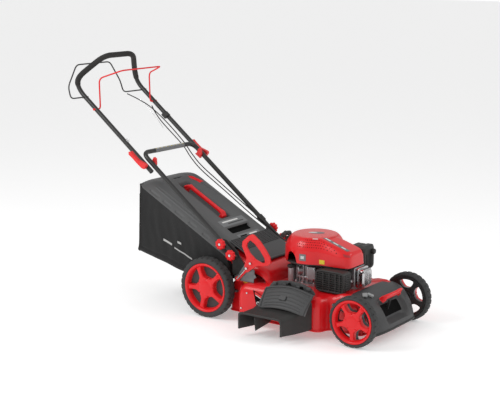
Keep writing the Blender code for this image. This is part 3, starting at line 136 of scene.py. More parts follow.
# edge wear: where the surface turns sharply, a lighter colour shows in broken patches
def makeWearGroup():
    group, start, end = newGroup("edgeWear", [
        ("Vector", vectorKind, None), ("Colour", colourKind, (0.5, 0.5, 0.5, 1)),
                                              ("Worn Colour", colourKind, (0.6, 0.6, 0.6, 1)),
        ("Pointiness", floatKind, 0.5), ("Amount", floatKind, 0.3)], [("Colour", colourKind), ("Mask", floatKind)])
    patches = addNode(group, "ShaderNodeTexNoise")
    patches.inputs["Scale"].default_value = 60.0
    edge = addNode(group, "ShaderNodeMapRange")
    edge.inputs["From Min"].default_value = 0.54
    edge.inputs["From Max"].default_value = 0.62
    group.links.new(start.outputs["Vector"], patches.inputs["Vector"])
    group.links.new(start.outputs["Pointiness"], edge.inputs["Value"])
    broken = maths(group, "MULTIPLY", edge.outputs[0], patches.outputs["Fac"])
    mask = maths(group, "MULTIPLY", broken, start.outputs["Amount"])
    group.links.new(mixColours(group, mask, start.outputs["Colour"], start.outputs["Worn Colour"]), end.inputs["Colour"])
    group.links.new(mask, end.inputs["Mask"])
    return group


# weave: two sets of threads crossing, as a height and a shade, on the piece's own UV map
def makeWeaveGroup():
    group, start, end = newGroup("clothWeave", [
        ("Vector", vectorKind, None), ("Threads", floatKind, 700.0), ("Colour", colourKind, (0.02, 0.02, 0.02, 1)),
        ("Thread Colour", colourKind, (0.04, 0.04, 0.04, 1))],
        [("Colour", colourKind), ("Height", floatKind)])
    split = addNode(group, "ShaderNodeSeparateXYZ")
    group.links.new(start.outputs["Vector"], split.inputs[0])
    waves = []
    for axis in (0, 1):
        turned = maths(group, "MULTIPLY", split.outputs[axis], start.outputs["Threads"])
        waves.append(maths(group, "ABSOLUTE", maths(group, "SINE", turned, 0.0), 0.0))
    height = maths(group, "MULTIPLY", waves[0], waves[1])
    group.links.new(mixColours(group, height, start.outputs["Colour"], start.outputs["Thread Colour"]), end.inputs["Colour"])
    group.links.new(height, end.inputs["Height"])
    return group


finishGroup = makeFinishGroup()
wearGroup = makeWearGroup()
weaveGroup = makeWeaveGroup()


def place(tree, group, values):
    made = addNode(tree, "ShaderNodeGroup", node_tree=group)
    for key, value in values.items():
        made.inputs[key].default_value = value
    return made


def finish(name, colour, roughness, metallic=0.0, coat=0.0, dust=0.05, spread=0.08, clouds=9.0, grain=400.0,
           depth=0.12, worn=None, wear=0.0, dustColour=(0.35, 0.33, 0.31), sheen=0.0, specular=0.5):
    made = bpy.data.materials.new(name)
    made.use_nodes = True
    tree = made.node_tree
    shader = tree.nodes["Principled BSDF"]
    where = addNode(tree, "ShaderNodeTexCoord")
    uneven = place(tree, finishGroup, {
        "Colour": (*colour, 1), "Dust": (*dustColour, 1), "Dust Amount": dust, "Roughness": roughness,
        "Roughness Spread": spread, "Cloud Scale": clouds, "Grain Scale": grain, "Grain Depth": depth})
    tree.links.new(where.outputs["Object"], uneven.inputs["Vector"])
    out = uneven.outputs["Colour"]
    if wear:
        around = addNode(tree, "ShaderNodeNewGeometry")
        worked = place(tree, wearGroup, {"Worn Colour": (*(worn or colour), 1), "Amount": wear})
        tree.links.new(where.outputs["Object"], worked.inputs["Vector"])
        tree.links.new(around.outputs["Pointiness"], worked.inputs["Pointiness"])
        tree.links.new(out, worked.inputs["Colour"])
        out = worked.outputs["Colour"]
    tree.links.new(out, shader.inputs["Base Color"])
    tree.links.new(uneven.outputs["Roughness"], shader.inputs["Roughness"])
    tree.links.new(uneven.outputs["Normal"], shader.inputs["Normal"])
    shader.inputs["Metallic"].default_value = metallic
    shader.inputs["Coat Weight"].default_value = coat
    shader.inputs["Coat Roughness"].default_value = 0.12
    shader.inputs["Sheen Weight"].default_value = sheen
    shader.inputs["Specular IOR Level"].default_value = specular
    return made


redPaint = finish("redPaint", (0.76, 0.004, 0.009), 0.30, coat=0.30, specular=0.28, dust=0.03, spread=0.10,
                  grain=900.0, depth=0.05,
                  worn=(0.85, 0.16, 0.16), wear=0.35)
redPlastic = finish("redPlastic", (0.76, 0.005, 0.010), 0.36, coat=0.05, specular=0.28, dust=0.03, grain=700.0, depth=0.10,
                    worn=(0.85, 0.20, 0.18), wear=0.3)
rimRed = finish("rimRed", (0.77, 0.005, 0.010), 0.33, coat=0.15, specular=0.28, dust=0.04, grain=800.0, depth=0.08,
                worn=(0.88, 0.22, 0.20), wear=0.3)
rubber = finish("tyreRubber", (0.036, 0.037, 0.038), 0.78, dust=0.10, spread=0.15, grain=520.0, depth=0.35,
                worn=(0.12, 0.12, 0.12), wear=0.5, specular=0.3)
tubeBlack = finish("tubeBlack", (0.012, 0.012, 0.012), 0.36, specular=0.35, dust=0.06, grain=1400.0, depth=0.18, coat=0.2,
                   worn=(0.16, 0.16, 0.16), wear=0.3)
foam = finish("foamGrip", (0.016, 0.016, 0.016), 0.88, dust=0.12, grain=1500.0, depth=0.6, spread=0.05, specular=0.25)
blackPlastic = finish("blackPlastic", (0.012, 0.012, 0.012), 0.50, specular=0.35, dust=0.10, grain=1100.0, depth=0.30,
                      worn=(0.10, 0.10, 0.10), wear=0.4)
greyPlastic = finish("greyPlastic", (0.048, 0.049, 0.051), 0.50, specular=0.35, dust=0.08, grain=1000.0, depth=0.30,
                     worn=(0.18, 0.18, 0.18), wear=0.4)
castMetal = finish("castMetal", (0.36, 0.36, 0.37), 0.46, metallic=0.85, dust=0.10, grain=260.0, depth=0.7, spread=0.2,
                   worn=(0.75, 0.75, 0.76), wear=0.6)
brightSteel = finish("brightSteel", (0.60, 0.60, 0.61), 0.26, metallic=1.0, dust=0.04, grain=900.0, depth=0.12)
darkSteel = finish("darkSteel", (0.10, 0.10, 0.105), 0.45, metallic=0.9, dust=0.12, grain=700.0, depth=0.3,
                   worn=(0.4, 0.4, 0.4), wear=0.5)
cableBlack = finish("cableBlack", (0.012, 0.012, 0.012), 0.52, dust=0.08, grain=900.0, depth=0.2)
# near-black finish: the own colour of print and of the dark pins, and painted shade where it fills holes, grooves and
# recesses
blackAndPaintedShade = finish("blackAndPaintedShade", (0.004, 0.004, 0.004), 0.9, dust=0.0, depth=0.0, specular=0.1)
labelGrey = finish("labelGrey", (0.16, 0.165, 0.17), 0.4, dust=0.05, depth=0.05)
labelYellow = finish("labelYellow", (0.80, 0.62, 0.02), 0.42, dust=0.03, depth=0.05)
labelWhite = finish("labelWhite", (0.72, 0.72, 0.70), 0.45, dust=0.05, depth=0.05)
print("materials made")

slotFinish = {"red_paint": redPaint, "red_plastic": redPlastic, "rim_red": rimRed, "tyre_rubber": rubber,
              "black_tube": tubeBlack, "foam_grip": foam, "black_plastic": blackPlastic,
              "grey_plastic": greyPlastic, "bag_fabric": blackPlastic, "cast_aluminium": castMetal,
              "bright_steel": brightSteel, "dark_steel": darkSteel, "cable_sheath": cableBlack}
slotOf = {entry["node"]: entry["material_slot"] for entry in frame["record"]["subparts"]}
for name, item in nodes.items():
    item.data.materials.clear()
    item.data.materials.append(slotFinish[slotOf[name]])


def outwards(item):
    mesh = item.data
    work = bmesh.new()
    work.from_mesh(mesh)
    bmesh.ops.recalc_face_normals(work, faces=work.faces[:])
    work.to_mesh(mesh)
    work.free()


def piece(name, points, faces, look, body, slot, replaced=(), smooth=True, sharp=40.0):
    mesh = bpy.data.meshes.new(name)
    mesh.from_pydata((np.asarray(points, float) + shift).tolist(), [], [tuple(face) for face in faces])
    mesh.materials.append(look)
    item = bpy.data.objects.new(name, mesh)
    bpy.context.scene.collection.objects.link(item)
    outwards(item)
    if smooth:
        mesh.shade_smooth()
        mesh.set_sharp_from_angle(angle=math.radians(sharp))
    if body:
        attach(item, body)
    if replaced:
        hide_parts(*replaced)
    return item


# faces of a grid of rows x columns, closed round either way if asked
def gridFaces(rows, columns, closeRows=False, closeColumns=False, base=0):
    rowIndex = np.arange(rows if closeRows else rows - 1)
    columnIndex = np.arange(columns if closeColumns else columns - 1)
    a, b = np.meshgrid(rowIndex, columnIndex, indexing="ij")
    after = (a + 1) % rows
    beside = (b + 1) % columns
    quads = np.stack([a * columns + b, a * columns + beside, after * columns + beside, after * columns + b], -1)
    return (quads.reshape(-1, 4) + base).tolist()


# rings of the same count carried one after another, closed round and capped at both ends
def cappedRings(rows, around):
    faces = gridFaces(rows, around, closeColumns=True)
    faces.append(list(range(around))[::-1])
    faces.append([(rows - 1) * around + k for k in range(around)])
    return faces


# a smooth curve through a few points, read off evenly: cubic pieces whose slopes join
def smoothPath(points, count):
    points = np.asarray(points, float)
    lengths = np.linalg.norm(np.diff(points, axis=0), axis=1)
    along = np.concatenate([[0.0], np.cumsum(lengths)])
    wanted = np.linspace(0.0, along[-1], count)
    k = np.clip(np.searchsorted(along, wanted) - 1, 0, len(points) - 2)
    t = ((wanted - along[k]) / lengths[k])[:, None]
    padded = np.vstack([points[:1], points, points[-1:]])
    slope = (padded[2:] - padded[:-2]) / 2
    return ((2 * t ** 3 - 3 * t ** 2 + 1) * points[k] + (t ** 3 - 2 * t ** 2 + t) * slope[k]
            + (3 * t ** 2 - 2 * t ** 3) * points[k + 1] + (t ** 3 - t ** 2) * slope[k + 1])


# straight runs joined by round bends: each corner becomes a short quadratic curve
def bentPath(points, bend, steps=8):
    points = [np.asarray(point, float) for point in points]
    path = [points[0]]
    for before, corner, after in zip(points, points[1:], points[2:]):
        back, ahead = before - corner, after - corner
        start = corner + back / np.linalg.norm(back) * min(bend, 0.48 * np.linalg.norm(back))
        stop = corner + ahead / np.linalg.norm(ahead) * min(bend, 0.48 * np.linalg.norm(ahead))
        t = np.linspace(0.0, 1.0, steps + 1)[:, None]
        path.extend((1 - t) ** 2 * start + 2 * t * (1 - t) * corner + t ** 2 * stop)
    path.append(points[-1])
    return np.array(path)


# two directions across a path, carried along it without twist
def pathFrames(path, closed=False):
    if closed:
        tangent = np.roll(path, -1, axis=0) - np.roll(path, 1, axis=0)
    else:
        tangent = np.gradient(path, axis=0)
    tangent /= np.linalg.norm(tangent, axis=1)[:, None]
    guess = np.array([0.0, 0.0, 1.0]) if abs(tangent[0][2]) < 0.9 else np.array([1.0, 0.0, 0.0])
    first = []
    for direction in tangent:
        guess = guess - (guess @ direction) * direction
        guess = guess / np.linalg.norm(guess)
        first.append(guess)
    first = np.array(first)
    return first, np.cross(tangent, first)


# a tube: a circle carried along a path, with the radius free to change on the way
def tubeShape(path, radius, sides=16, closed=False):
    path = np.asarray(path, float)
    first, second = pathFrames(path, closed)
    angle = np.linspace(0, 2 * np.pi, sides, endpoint=False)
    radius = np.broadcast_to(np.asarray(radius, float), (len(path),))[:, None, None]
    ring = np.cos(angle)[None, :, None] * first[:, None, :] + np.sin(angle)[None, :, None] * second[:, None, :]
    points = (path[:, None, :] + radius * ring).reshape(-1, 3)
    faces = gridFaces(len(path), sides, closeRows=closed, closeColumns=True)
    if not closed:
        faces.append(list(range(sides))[::-1])
        faces.append([(len(path) - 1) * sides + k for k in range(sides)])
    return points, faces


axisTurn = {"X": np.array([[0, 1, 0], [0, 0, 1], [1, 0, 0]], float), "Y": np.array([[0, 0, 1], [1, 0, 0], [0, 1, 0]], float),
            "Z": np.eye(3)}


# a turned surface: radius and place along the axis swept round, ends closed where the radius is zero
def turnedShape(profile, centre, axis="Z", steps=48, ring=False, ripple=None):
    profile = np.asarray(profile, float)
    angle = np.linspace(0, 2 * np.pi, steps, endpoint=False)
    radius = profile[:, 0][:, None] * np.ones(steps)[None, :]
    if ripple is not None:
        radius = radius * ripple(profile[:, 1][:, None], angle[None, :])
    local = np.stack([radius * np.cos(angle), radius * np.sin(angle), profile[:, 1][:, None] * np.ones(steps)[None, :]], -1)
    points = (local.reshape(-1, 3) @ axisTurn[axis]) + np.asarray(centre, float)
    faces = gridFaces(len(profile), steps, closeRows=ring, closeColumns=True)
    if not ring:
        faces.append(list(range(steps))[::-1])
        faces.append([(len(profile) - 1) * steps + k for k in range(steps)])
    return points, faces


# a flat outline given thickness along an axis, its rims stepped in for a soft edge
def plateShape(outline, low, high, axis="Y", edge=0.0008):
    outline = np.asarray(outline, float)
    centre = outline.mean(axis=0)
    span = np.linalg.norm(outline - centre, axis=1).mean()
    inside = centre + (outline - centre) * (1 - edge / span)
    rows = [(inside, low), (outline, low + edge), (outline, high - edge), (inside, high)]
    local = np.concatenate([np.column_stack([ring, np.full(len(ring), level)]) for ring, level in rows])
    turn = {"X": (2, 0, 1), "Y": (0, 2, 1), "Z": (0, 1, 2)}[axis]
    points = local[:, turn]
    count = len(outline)
    faces = gridFaces(4, count, closeColumns=True)
    faces.append(list(range(count))[::-1])
    faces.append([3 * count + k for k in range(count)])
    if axis == "Y":
        faces = [face[::-1] for face in faces]
    return points, faces


def merged(*shapes):
    points, faces, base = [], [], 0
    for shapePoints, shapeFaces in shapes:
        points.append(np.asarray(shapePoints, float))
        faces.extend([[index + base for index in face] for face in shapeFaces])
        base += len(shapePoints)
    return np.concatenate(points), faces


wheelFace = 0.2656
wheels = {
    "rear_right": {"x": 0.0, "z": 0.140, "side": -1, "rim": 0.114, "tyre": 0.140, "width": 0.052, "blocks": 30,
                   "turn": 41.0},
    "rear_left": {"x": 0.0, "z": 0.140, "side": 1, "rim": 0.114, "tyre": 0.140, "width": 0.052, "blocks": 30, "turn": 41.0},
    "front_right": {"x": 0.777, "z": 0.112, "side": -1, "rim": 0.096, "tyre": 0.112, "width": 0.043, "blocks": 26,
                    "turn": -90.0},
    "front_left": {"x": 0.777, "z": 0.112, "side": 1, "rim": 0.096, "tyre": 0.112, "width": 0.043, "blocks": 26,
                   "turn": -90.0},
}
wheelGrey = finish("wheelGrey", (0.040, 0.042, 0.043), 0.62, dust=0.08, grain=500.0, depth=0.2)


# turned about the wheel's axle: radius against depth, the depth counted inwards from the outer face
def wheelTurn(wheel, profile, steps=96, ring=True, lift=None):
    profile = np.asarray(profile, float)
    angle = np.linspace(0, 2 * np.pi, steps, endpoint=False)
    radius = profile[:, 0][:, None] + np.zeros(steps)[None, :]
    if lift is not None:
        radius = radius + lift(profile[:, 0][:, None], profile[:, 1][:, None], angle[None, :])
    depth = profile[:, 1][:, None] + np.zeros(steps)[None, :]
    points = np.stack([wheel["x"] + radius * np.cos(angle), wheel["side"] * (wheelFace - depth),
                       wheel["z"] + radius * np.sin(angle)], -1).reshape(-1, 3)
    faces = gridFaces(len(profile), steps, closeRows=ring, closeColumns=True)
    if not ring:
        faces.append(list(range(steps))[::-1])
        faces.append([(len(profile) - 1) * steps + k for k in range(steps)])
    return points, faces


# one spoke: a rounded bar whose width flares at both ends; near and far are the depths of its face and back
def wheelSpoke(wheel, angle, near, far, size):
    scale = wheel["rim"] / 0.114
    first, last = 0.022 * scale, wheel["rim"] - 0.012
    radius = np.linspace(first, last, 34)
    along = np.clip((radius - 0.040 * scale) / (last - 0.040 * scale), 0, 1)
    half = size["half"] * scale + size["flare"] * np.exp(-np.clip(radius - 0.041 * scale, 0, 1) / 0.007)
    half = half + size["foot"] * np.exp(-(last - radius) / 0.006)
    half = np.minimum(half, radius * 0.72)
    dip = size["dip"] * np.clip((along - 0.72) / 0.28, 0, 1) ** 2
    across = np.array([-1.12, -1.0, -0.94, -0.80, -0.5, -0.2, 0.2, 0.5, 0.80, 0.94, 1.0, 1.12])
    sunk = np.array([1.0, 0.30, 0.11, 0.035, 0.008, 0.0, 0.0, 0.008, 0.035, 0.11, 0.30, 1.0])
    u = half[:, None] * across[None, :]
    front = near + dip
    depth = front[:, None] + (far - front)[:, None] * sunk[None, :]
    out = np.array([math.cos(angle), 0.0, math.sin(angle)])
    beside = np.array([-math.sin(angle), 0.0, math.cos(angle)])
    centre = np.array([wheel["x"], wheel["side"] * wheelFace, wheel["z"]])
    inwards = np.array([0.0, -wheel["side"], 0.0])
    points = (centre + radius[:, None, None] * out + u[..., None] * beside + depth[..., None] * inwards).reshape(-1, 3)
    count = len(across)
    faces = gridFaces(len(radius), count, closeColumns=True)
    faces.append(list(range(count))[::-1])
    faces.append([(len(radius) - 1) * count + k for k in range(count)])
    return points, faces


spokeSize = {"half": 0.0100, "flare": 0.014, "foot": 0.009, "dip": 0.007}
for name, wheel in wheels.items():
    body = name + "_wheel"
    scale = wheel["rim"] / 0.114
    edge, back = wheel["rim"], wheel["width"]
    angles = [math.radians(wheel["turn"] + 72.0 * k) for k in range(5)]
    wall = 0.030 * back / 0.052
    ringProfile = [(edge, 0.004), (edge - 0.0006, 0.0012), (edge - 0.002, 0.0), (edge - 0.0065, 0.0),
                   (edge - 0.0085, 0.0012),
                   (edge - 0.0120, 0.0055), (edge - 0.0150, 0.0110), (edge - 0.0165, 0.0165), (edge - 0.0170, wall),
                   (edge, wall)]
    hubProfile = [(0.0001, -0.0012), (0.010 * scale, -0.0009), (0.020 * scale, 0.0), (0.030 * scale, 0.0016),
                  (0.037 * scale, 0.0036), (0.042 * scale, 0.0075), (0.0445 * scale, 0.014), (0.0455 * scale, wall),
                  (0.0001, wall)]
    spokes = [wheelSpoke(wheel, angle, 0.0022, wall, spokeSize) for angle in angles]
    piece(name + "_rim_look", *merged(wheelTurn(wheel, ringProfile, 120),
                                      wheelTurn(wheel, hubProfile, 72, ring=False), *spokes),
          rimRed, body, "rim_red", replaced=[name + "_rim"], sharp=50)
    if name.startswith("rear"):
        backing = [(0.0001, wall - 0.001), (edge - 0.004, wall - 0.001), (edge - 0.0004, wall + 0.003),
                   (edge - 0.0004, back - 0.003),
                   (0.026, back - 0.003), (0.024, back + 0.0005), (0.0001, back + 0.0005)]
        piece(name + "_backing", *wheelTurn(wheel, backing, 72, ring=False), wheelGrey, body, "tyre_rubber")
    else:
        inner = [wheelSpoke(wheel, angle, wall - 0.004, back - 0.002, {"half": 0.0115, "flare": 0.016, "foot": 0.011,
                                                            "dip": 0.0})
                 for angle in angles]
        innerRing = [(edge - 0.0004, wall - 0.002), (edge - 0.0150, wall - 0.002), (edge - 0.0150, back - 0.005),
                     (edge - 0.009, back - 0.001), (edge - 0.0004, back - 0.001)]
        innerHub = [(0.0001, wall - 0.006), (0.036, wall - 0.006), (0.036, back - 0.001), (0.026, back),
                    (0.024, back + 0.004), (0.0001, back + 0.004)]
        piece(name + "_inner", *merged(wheelTurn(wheel, innerRing, 96), wheelTurn(wheel, innerHub, 48, ring=False), *inner),
              tubeBlack, body, "black_plastic", sharp=50)
    full, low = wheel["tyre"], wheel["rim"] + 0.0003
    high = full - low
    tyreProfile = [(low, 0.0040), (low + 0.002, 0.0018), (low + 0.35 * high, 0.0), (low + 0.72 * high, 0.0008),
                   (full - 0.0042, 0.0020),
                   (full - 0.0018, 0.0042), (full - 0.0004, 0.0075), (full, 0.012), (full, back * 0.34),
                   (full - 0.0004, back * 0.365),
                   (full - 0.0002, back * 0.43), (full, back * 0.5), (full - 0.0002, back * 0.57),
                   (full - 0.0004, back * 0.635), (full, back * 0.66),
                   (full, back - 0.012), (full - 0.0004, back - 0.0075), (full - 0.0018, back - 0.0042),
                   (full - 0.0042, back - 0.002),
                   (low + 0.35 * high, back - 0.0002), (low, back - 0.004)]

    # grooves between the blocks: a clipped cosine round the tyre, half a step later on the inner shoulder
    def groove(radius, depth, angle, wheel=wheel, full=full, back=back):
        late = np.where(depth > back / 2, math.pi, 0.0)
        wave = np.clip((np.cos(wheel["blocks"] * angle + late) - 0.45) / 0.3, 0, 1)
        shoulder = np.clip((radius - (full - 0.006)) / 0.003, 0,
                           1) * np.where(np.abs(depth - back / 2) > back * 0.15, 1.0, 0.0)
        return -0.0034 * wave * shoulder
    piece(name + "_tyre_look", *wheelTurn(wheel, tyreProfile, wheel["blocks"] * 12, lift=groove), rubber, body,
          "tyre_rubber",
          replaced=[name + "_tyre"], sharp=35)
print("wheels made")


slope = math.radians(38.5)


def lowerLine(x):
    return 0.343 - math.tan(slope) * (x - 0.054)


def upperLine(x):
    return lowerLine(x) - 0.016 / math.cos(slope)


def mirrored(points):
    return list(points) + [(x, -y, z) for x, y, z in reversed(points)]


tubes = {"radius": 0.011, "lowerHalf": 0.192, "upperHalf": 0.217, "corner": -0.4175, "end": 0.128, "top": -0.792}
lowerPath = bentPath(mirrored([(tubes["end"], -tubes["lowerHalf"], lowerLine(tubes["end"])),
                               (tubes["corner"], -tubes["lowerHalf"], lowerLine(tubes["corner"]))]), 0.045, 10)
piece("lower_handle_look", *tubeShape(lowerPath, tubes["radius"], 28), tubeBlack, "chassis", "black_tube",
      replaced=["lower_handle"])
upperPath = bentPath(mirrored([(-0.342, -tubes["upperHalf"], upperLine(-0.342)),
                               (tubes["top"], -tubes["upperHalf"], upperLine(tubes["top"])),
                               (-0.808, 0.002 - tubes["upperHalf"], 1.052), (-0.724, -0.108, 1.157)]), 0.050, 10)
piece("upper_handle_look", *tubeShape(upperPath, tubes["radius"], 28), tubeBlack, "upper_handle", "black_tube",
      replaced=["upper_handle"])
gripPath = smoothPath([point for point in upperPath if point[2] > 1.012], 90)
arc = np.linspace(0, 1, 90)
gripRadius = 0.0136 - 0.0022 * np.exp(-arc / 0.006) - 0.0022 * np.exp(-(1 - arc) / 0.006)
piece("handle_grip_look", *tubeShape(gripPath, gripRadius, 28), foam, "upper_handle", "foam_grip", replaced=["handle_grip"])

inner = tubes["upperHalf"] - tubes["radius"] - 0.0005
x = -0.752
z = upperLine(x)
enginePath = bentPath(mirrored([(x, -inner, z), (x, 0.011 - inner, z), (x - 0.118, 0.011 - inner, z - 0.018),
                                (x - 0.136, 0.014 - inner, z + 0.040), (x - 0.143, -0.122, z + 0.142)]), 0.022, 8)
piece("engine_bail_look", *tubeShape(enginePath, 0.0035, 14), tubeBlack, "engine_bail", "black_tube",
      replaced=["engine_bail"])
x = -0.684
z = upperLine(x)
drivePath = bentPath(mirrored([(x, -inner, z), (x, 0.019 - inner, z), (x - 0.004, 0.019 - inner, z + 0.145),
                               (x + 0.108, -0.145, z + 0.186)]), 0.024, 8)
piece("drive_bail_look", *tubeShape(drivePath, 0.0036, 14), redPlastic, "drive_bail", "red_plastic", replaced=["drive_bail"])

stopRoute = [(-0.845, 0.196, 0.938), (-0.770, 0.194, 0.915), (-0.690, 0.196, 0.880), (-0.590, 0.198, 0.812),
             (-0.480, 0.196, 0.722), (-0.400, 0.165, 0.668), (-0.330, 0.159, 0.612), (-0.200, 0.172, 0.520),
             (-0.050, 0.173, 0.426), (0.060, 0.167, 0.364), (0.130, 0.166, 0.315), (0.190, 0.171, 0.290),
             (0.246, 0.166, 0.287), (0.279, 0.120, 0.303), (0.290, 0.064, 0.314)]
driveRoute = [(-0.674, 0.187, 0.889), (-0.648, 0.186, 0.852), (-0.600, 0.188, 0.802), (-0.480, 0.188, 0.706),
              (-0.400, 0.157, 0.650), (-0.330, 0.153, 0.594), (-0.200, 0.166, 0.505), (-0.050, 0.167, 0.410),
              (0.060, 0.166, 0.349), (0.130, 0.166, 0.303), (0.190, 0.166, 0.278), (0.236, 0.162, 0.260),
              (0.262, 0.140, 0.244), (0.270, 0.124, 0.228), (0.272, 0.121, 0.211)]
# both cables: one tube each along its route, attached to no body, with the transform baked into the mesh
for name, route, steps in (("engine_stop_cable", stopRoute, 220), ("drive_cable", driveRoute, 200)):
    cable = piece(name + "_look", *tubeShape(smoothPath(route, steps), 0.0027, 12), cableBlack, None, "cable_sheath",
                  replaced=[name])
    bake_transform(cable)


# a block whose length runs along one direction, with its rims softened: a rounded rectangle carried along
def blockShape(centre, along, across, length, wide, tall, soft=0.0015):
    along = np.asarray(along, float) / np.linalg.norm(along)
    across = np.asarray(across, float) - (np.asarray(across, float) @ along) * along
    across /= np.linalg.norm(across)
    up = np.cross(along, across)
    angle = np.linspace(0, 2 * np.pi, 24, endpoint=False) + np.pi / 24
    bend = 0.28
    u = np.sign(np.cos(angle)) * np.abs(np.cos(angle)) ** bend
    v = np.sign(np.sin(angle)) * np.abs(np.sin(angle)) ** bend
    rows = [(-length / 2, soft), (-length / 2 + soft, 0.0), (length / 2 - soft, 0.0), (length / 2, soft)]
    points = []
    for place, less in rows:
        ring = np.asarray(centre, float) + place * along
        points.append(ring + (u * (wide / 2 - less))[:, None] * across + (v * (tall / 2 - less))[:, None] * up)
    faces = gridFaces(4, 24, closeColumns=True)
    faces.append(list(range(24))[::-1])
    faces.append([72 + k for k in range(24)])
    return np.concatenate(points), faces


def pinShape(first, second, radius, sides=20, soft=0.0006):
    first, second = np.asarray(first, float), np.asarray(second, float)
    step = (second - first) / np.linalg.norm(second - first) * soft
    return tubeShape(np.array([first, first + step, second - step, second]),
                     [radius - soft, radius, radius, radius - soft], sides)


# fittings on the tubes: rope guide ring, sleeve collar, cable clips, cam bolts, crossbar label
alongTube = np.array([-math.cos(slope), 0.0, math.sin(slope)])
acrossTube = np.array([math.sin(slope), 0.0, math.cos(slope)])


def onUpper(x, y=None):
    return np.array([x, -tubes["upperHalf"] if y is None else y, upperLine(x)])


def onLower(x, y=None):
    return np.array([x, -tubes["lowerHalf"] if y is None else y, lowerLine(x)])


turn = np.linspace(0, 2 * np.pi, 28, endpoint=False)
guide = onUpper(-0.498) + acrossTube * 0.016
ropeRing = guide + np.cos(turn)[:, None] * acrossTube * 0.0085 + np.sin(turn)[:, None] * alongTube * 0.0085
piece("rope_guide", *merged(tubeShape(ropeRing, 0.0022, 10, closed=True), pinShape(onUpper(-0.498), guide, 0.0030)),
      brightSteel,
      "upper_handle", "bright_steel")
collar = onLower(0.000, tubes["lowerHalf"])
piece("left_tube_collar", *merged(tubeShape(np.array([collar - alongTube * 0.018, collar - alongTube * 0.015,
                                                      collar + alongTube * 0.015,
                                                      collar + alongTube * 0.018]), [0.0135, 0.0155, 0.0155, 0.0135], 28)),
      blackPlastic, "chassis", "black_plastic")
clip = onUpper(-0.602, tubes["upperHalf"])
piece("cable_clip", *merged(blockShape(clip + np.array([0, -0.015, 0.0]), alongTube, (0, 1, 0), 0.030, 0.016, 0.024),
                            tubeShape(np.array([clip - alongTube * 0.012, clip + alongTube * 0.012]), 0.0138, 24)),
      blackPlastic,
      "upper_handle", "black_plastic")
bare = smoothPath([(-0.760, 0.196, 0.918), (-0.700, 0.196, 0.868), (-0.640, 0.198, 0.812), (-0.612, 0.199, 0.778)], 30)
piece("bare_wire", *tubeShape(bare, 0.0012, 8), brightSteel, "upper_handle", "bright_steel")
for x, look, label in ((-0.752, tubeBlack, "engine_bail_stub"), (-0.684, redPlastic, "drive_bail_stub")):
    for side in (-1, 1):
        start = onUpper(x, side * (tubes["upperHalf"] + 0.004))
        piece(label + ("_left" if side > 0 else "_right"), *pinShape(start, start + np.array([0, side * 0.014, 0]),
                                                            0.0052), look,
              "upper_handle", "black_tube" if look is tubeBlack else "red_plastic")
bar = lowerLine(tubes["corner"])
labelPath = np.array([(tubes["corner"], y, bar) for y in np.linspace(-0.105, 0.115, 40)])
piece("crossbar_sleeve", *tubeShape(labelPath, 0.0114, 28), labelGrey, "chassis", "black_plastic")
for k in range(22):
    middle = -0.098 + 0.0098 * k
    look = labelWhite if k % 3 else labelYellow
    tilt = np.array([0.45, 0.0, 0.89])
    piece("crossbar_mark_%02d" % k, *blockShape(np.array([tubes["corner"], middle, bar]) + tilt * 0.0114, (0, 1, 0),
                                                np.cross(tilt, (0, 1, 0)),
                                               0.0062, 0.0030, 0.0008, 0.0002), look, "chassis", "black_plastic")
print("handle made")


# a raised plate that follows a surface: the surface read over a patch, lifted along its normal, closed round the rim
def patchShape(surface, uRange, vRange, lift=0.0005, thick=0.0008, n=12, m=8, outward=None):
    u, v = np.meshgrid(np.linspace(*uRange, n), np.linspace(*vRange, m), indexing="ij")
    base = surface(u, v)
    small = 1e-4
    normal = np.cross(surface(u + small, v) - base, surface(u, v + small) - base)
    normal /= np.linalg.norm(normal, axis=-1)[..., None]
    if outward is not None:
        normal *= np.sign((normal * np.asarray(outward, float)).sum(-1))[..., None]
    top, under = base + normal * (lift + thick), base + normal * (lift - 0.001)
    points = np.concatenate([top.reshape(-1, 3), under.reshape(-1, 3)])
    count = n * m
    faces = gridFaces(n, m) + [face[::-1] for face in gridFaces(n, m, base=count)]
    rim = [k * m for k in range(n)] + [(n - 1) * m + k for k in range(1, m)]
    rim += [k * m + m - 1 for k in range(n - 2, -1, -1)] + [k for k in range(m - 2, 0, -1)]
    faces += [[a, b, b + count, a + count] for a, b in zip(rim, rim[1:] + rim[:1])]
    return points, faces


shroud = {"x": 0.430, "radius": 0.137, "low": 0.292, "crease": 0.352, "high": 0.4035, "fall": 0.30, "archAt": 250.0,
          "archHalf": 14.0, "archRise": 0.048}


# how far the plan reaches at an angle: a circle joined to a box with rounded corners ahead of it
def planReach(angle, circle, front, right, left):
    across = np.where(np.sin(angle) < 0, right, left)
    nose = ((np.abs(np.cos(angle)) / front) ** 9 + (np.abs(np.sin(angle)) / across) ** 9) ** (-1 / 9)
    nose = np.where(np.cos(angle) > 0, nose, 1e-3)
    return (circle ** 16 + nose ** 16) ** (1 / 16)


def shroudTopHeight(x):
    return shroud["high"] - shroud["fall"] * np.clip(x - 0.505, 0, 1) ** 1.0


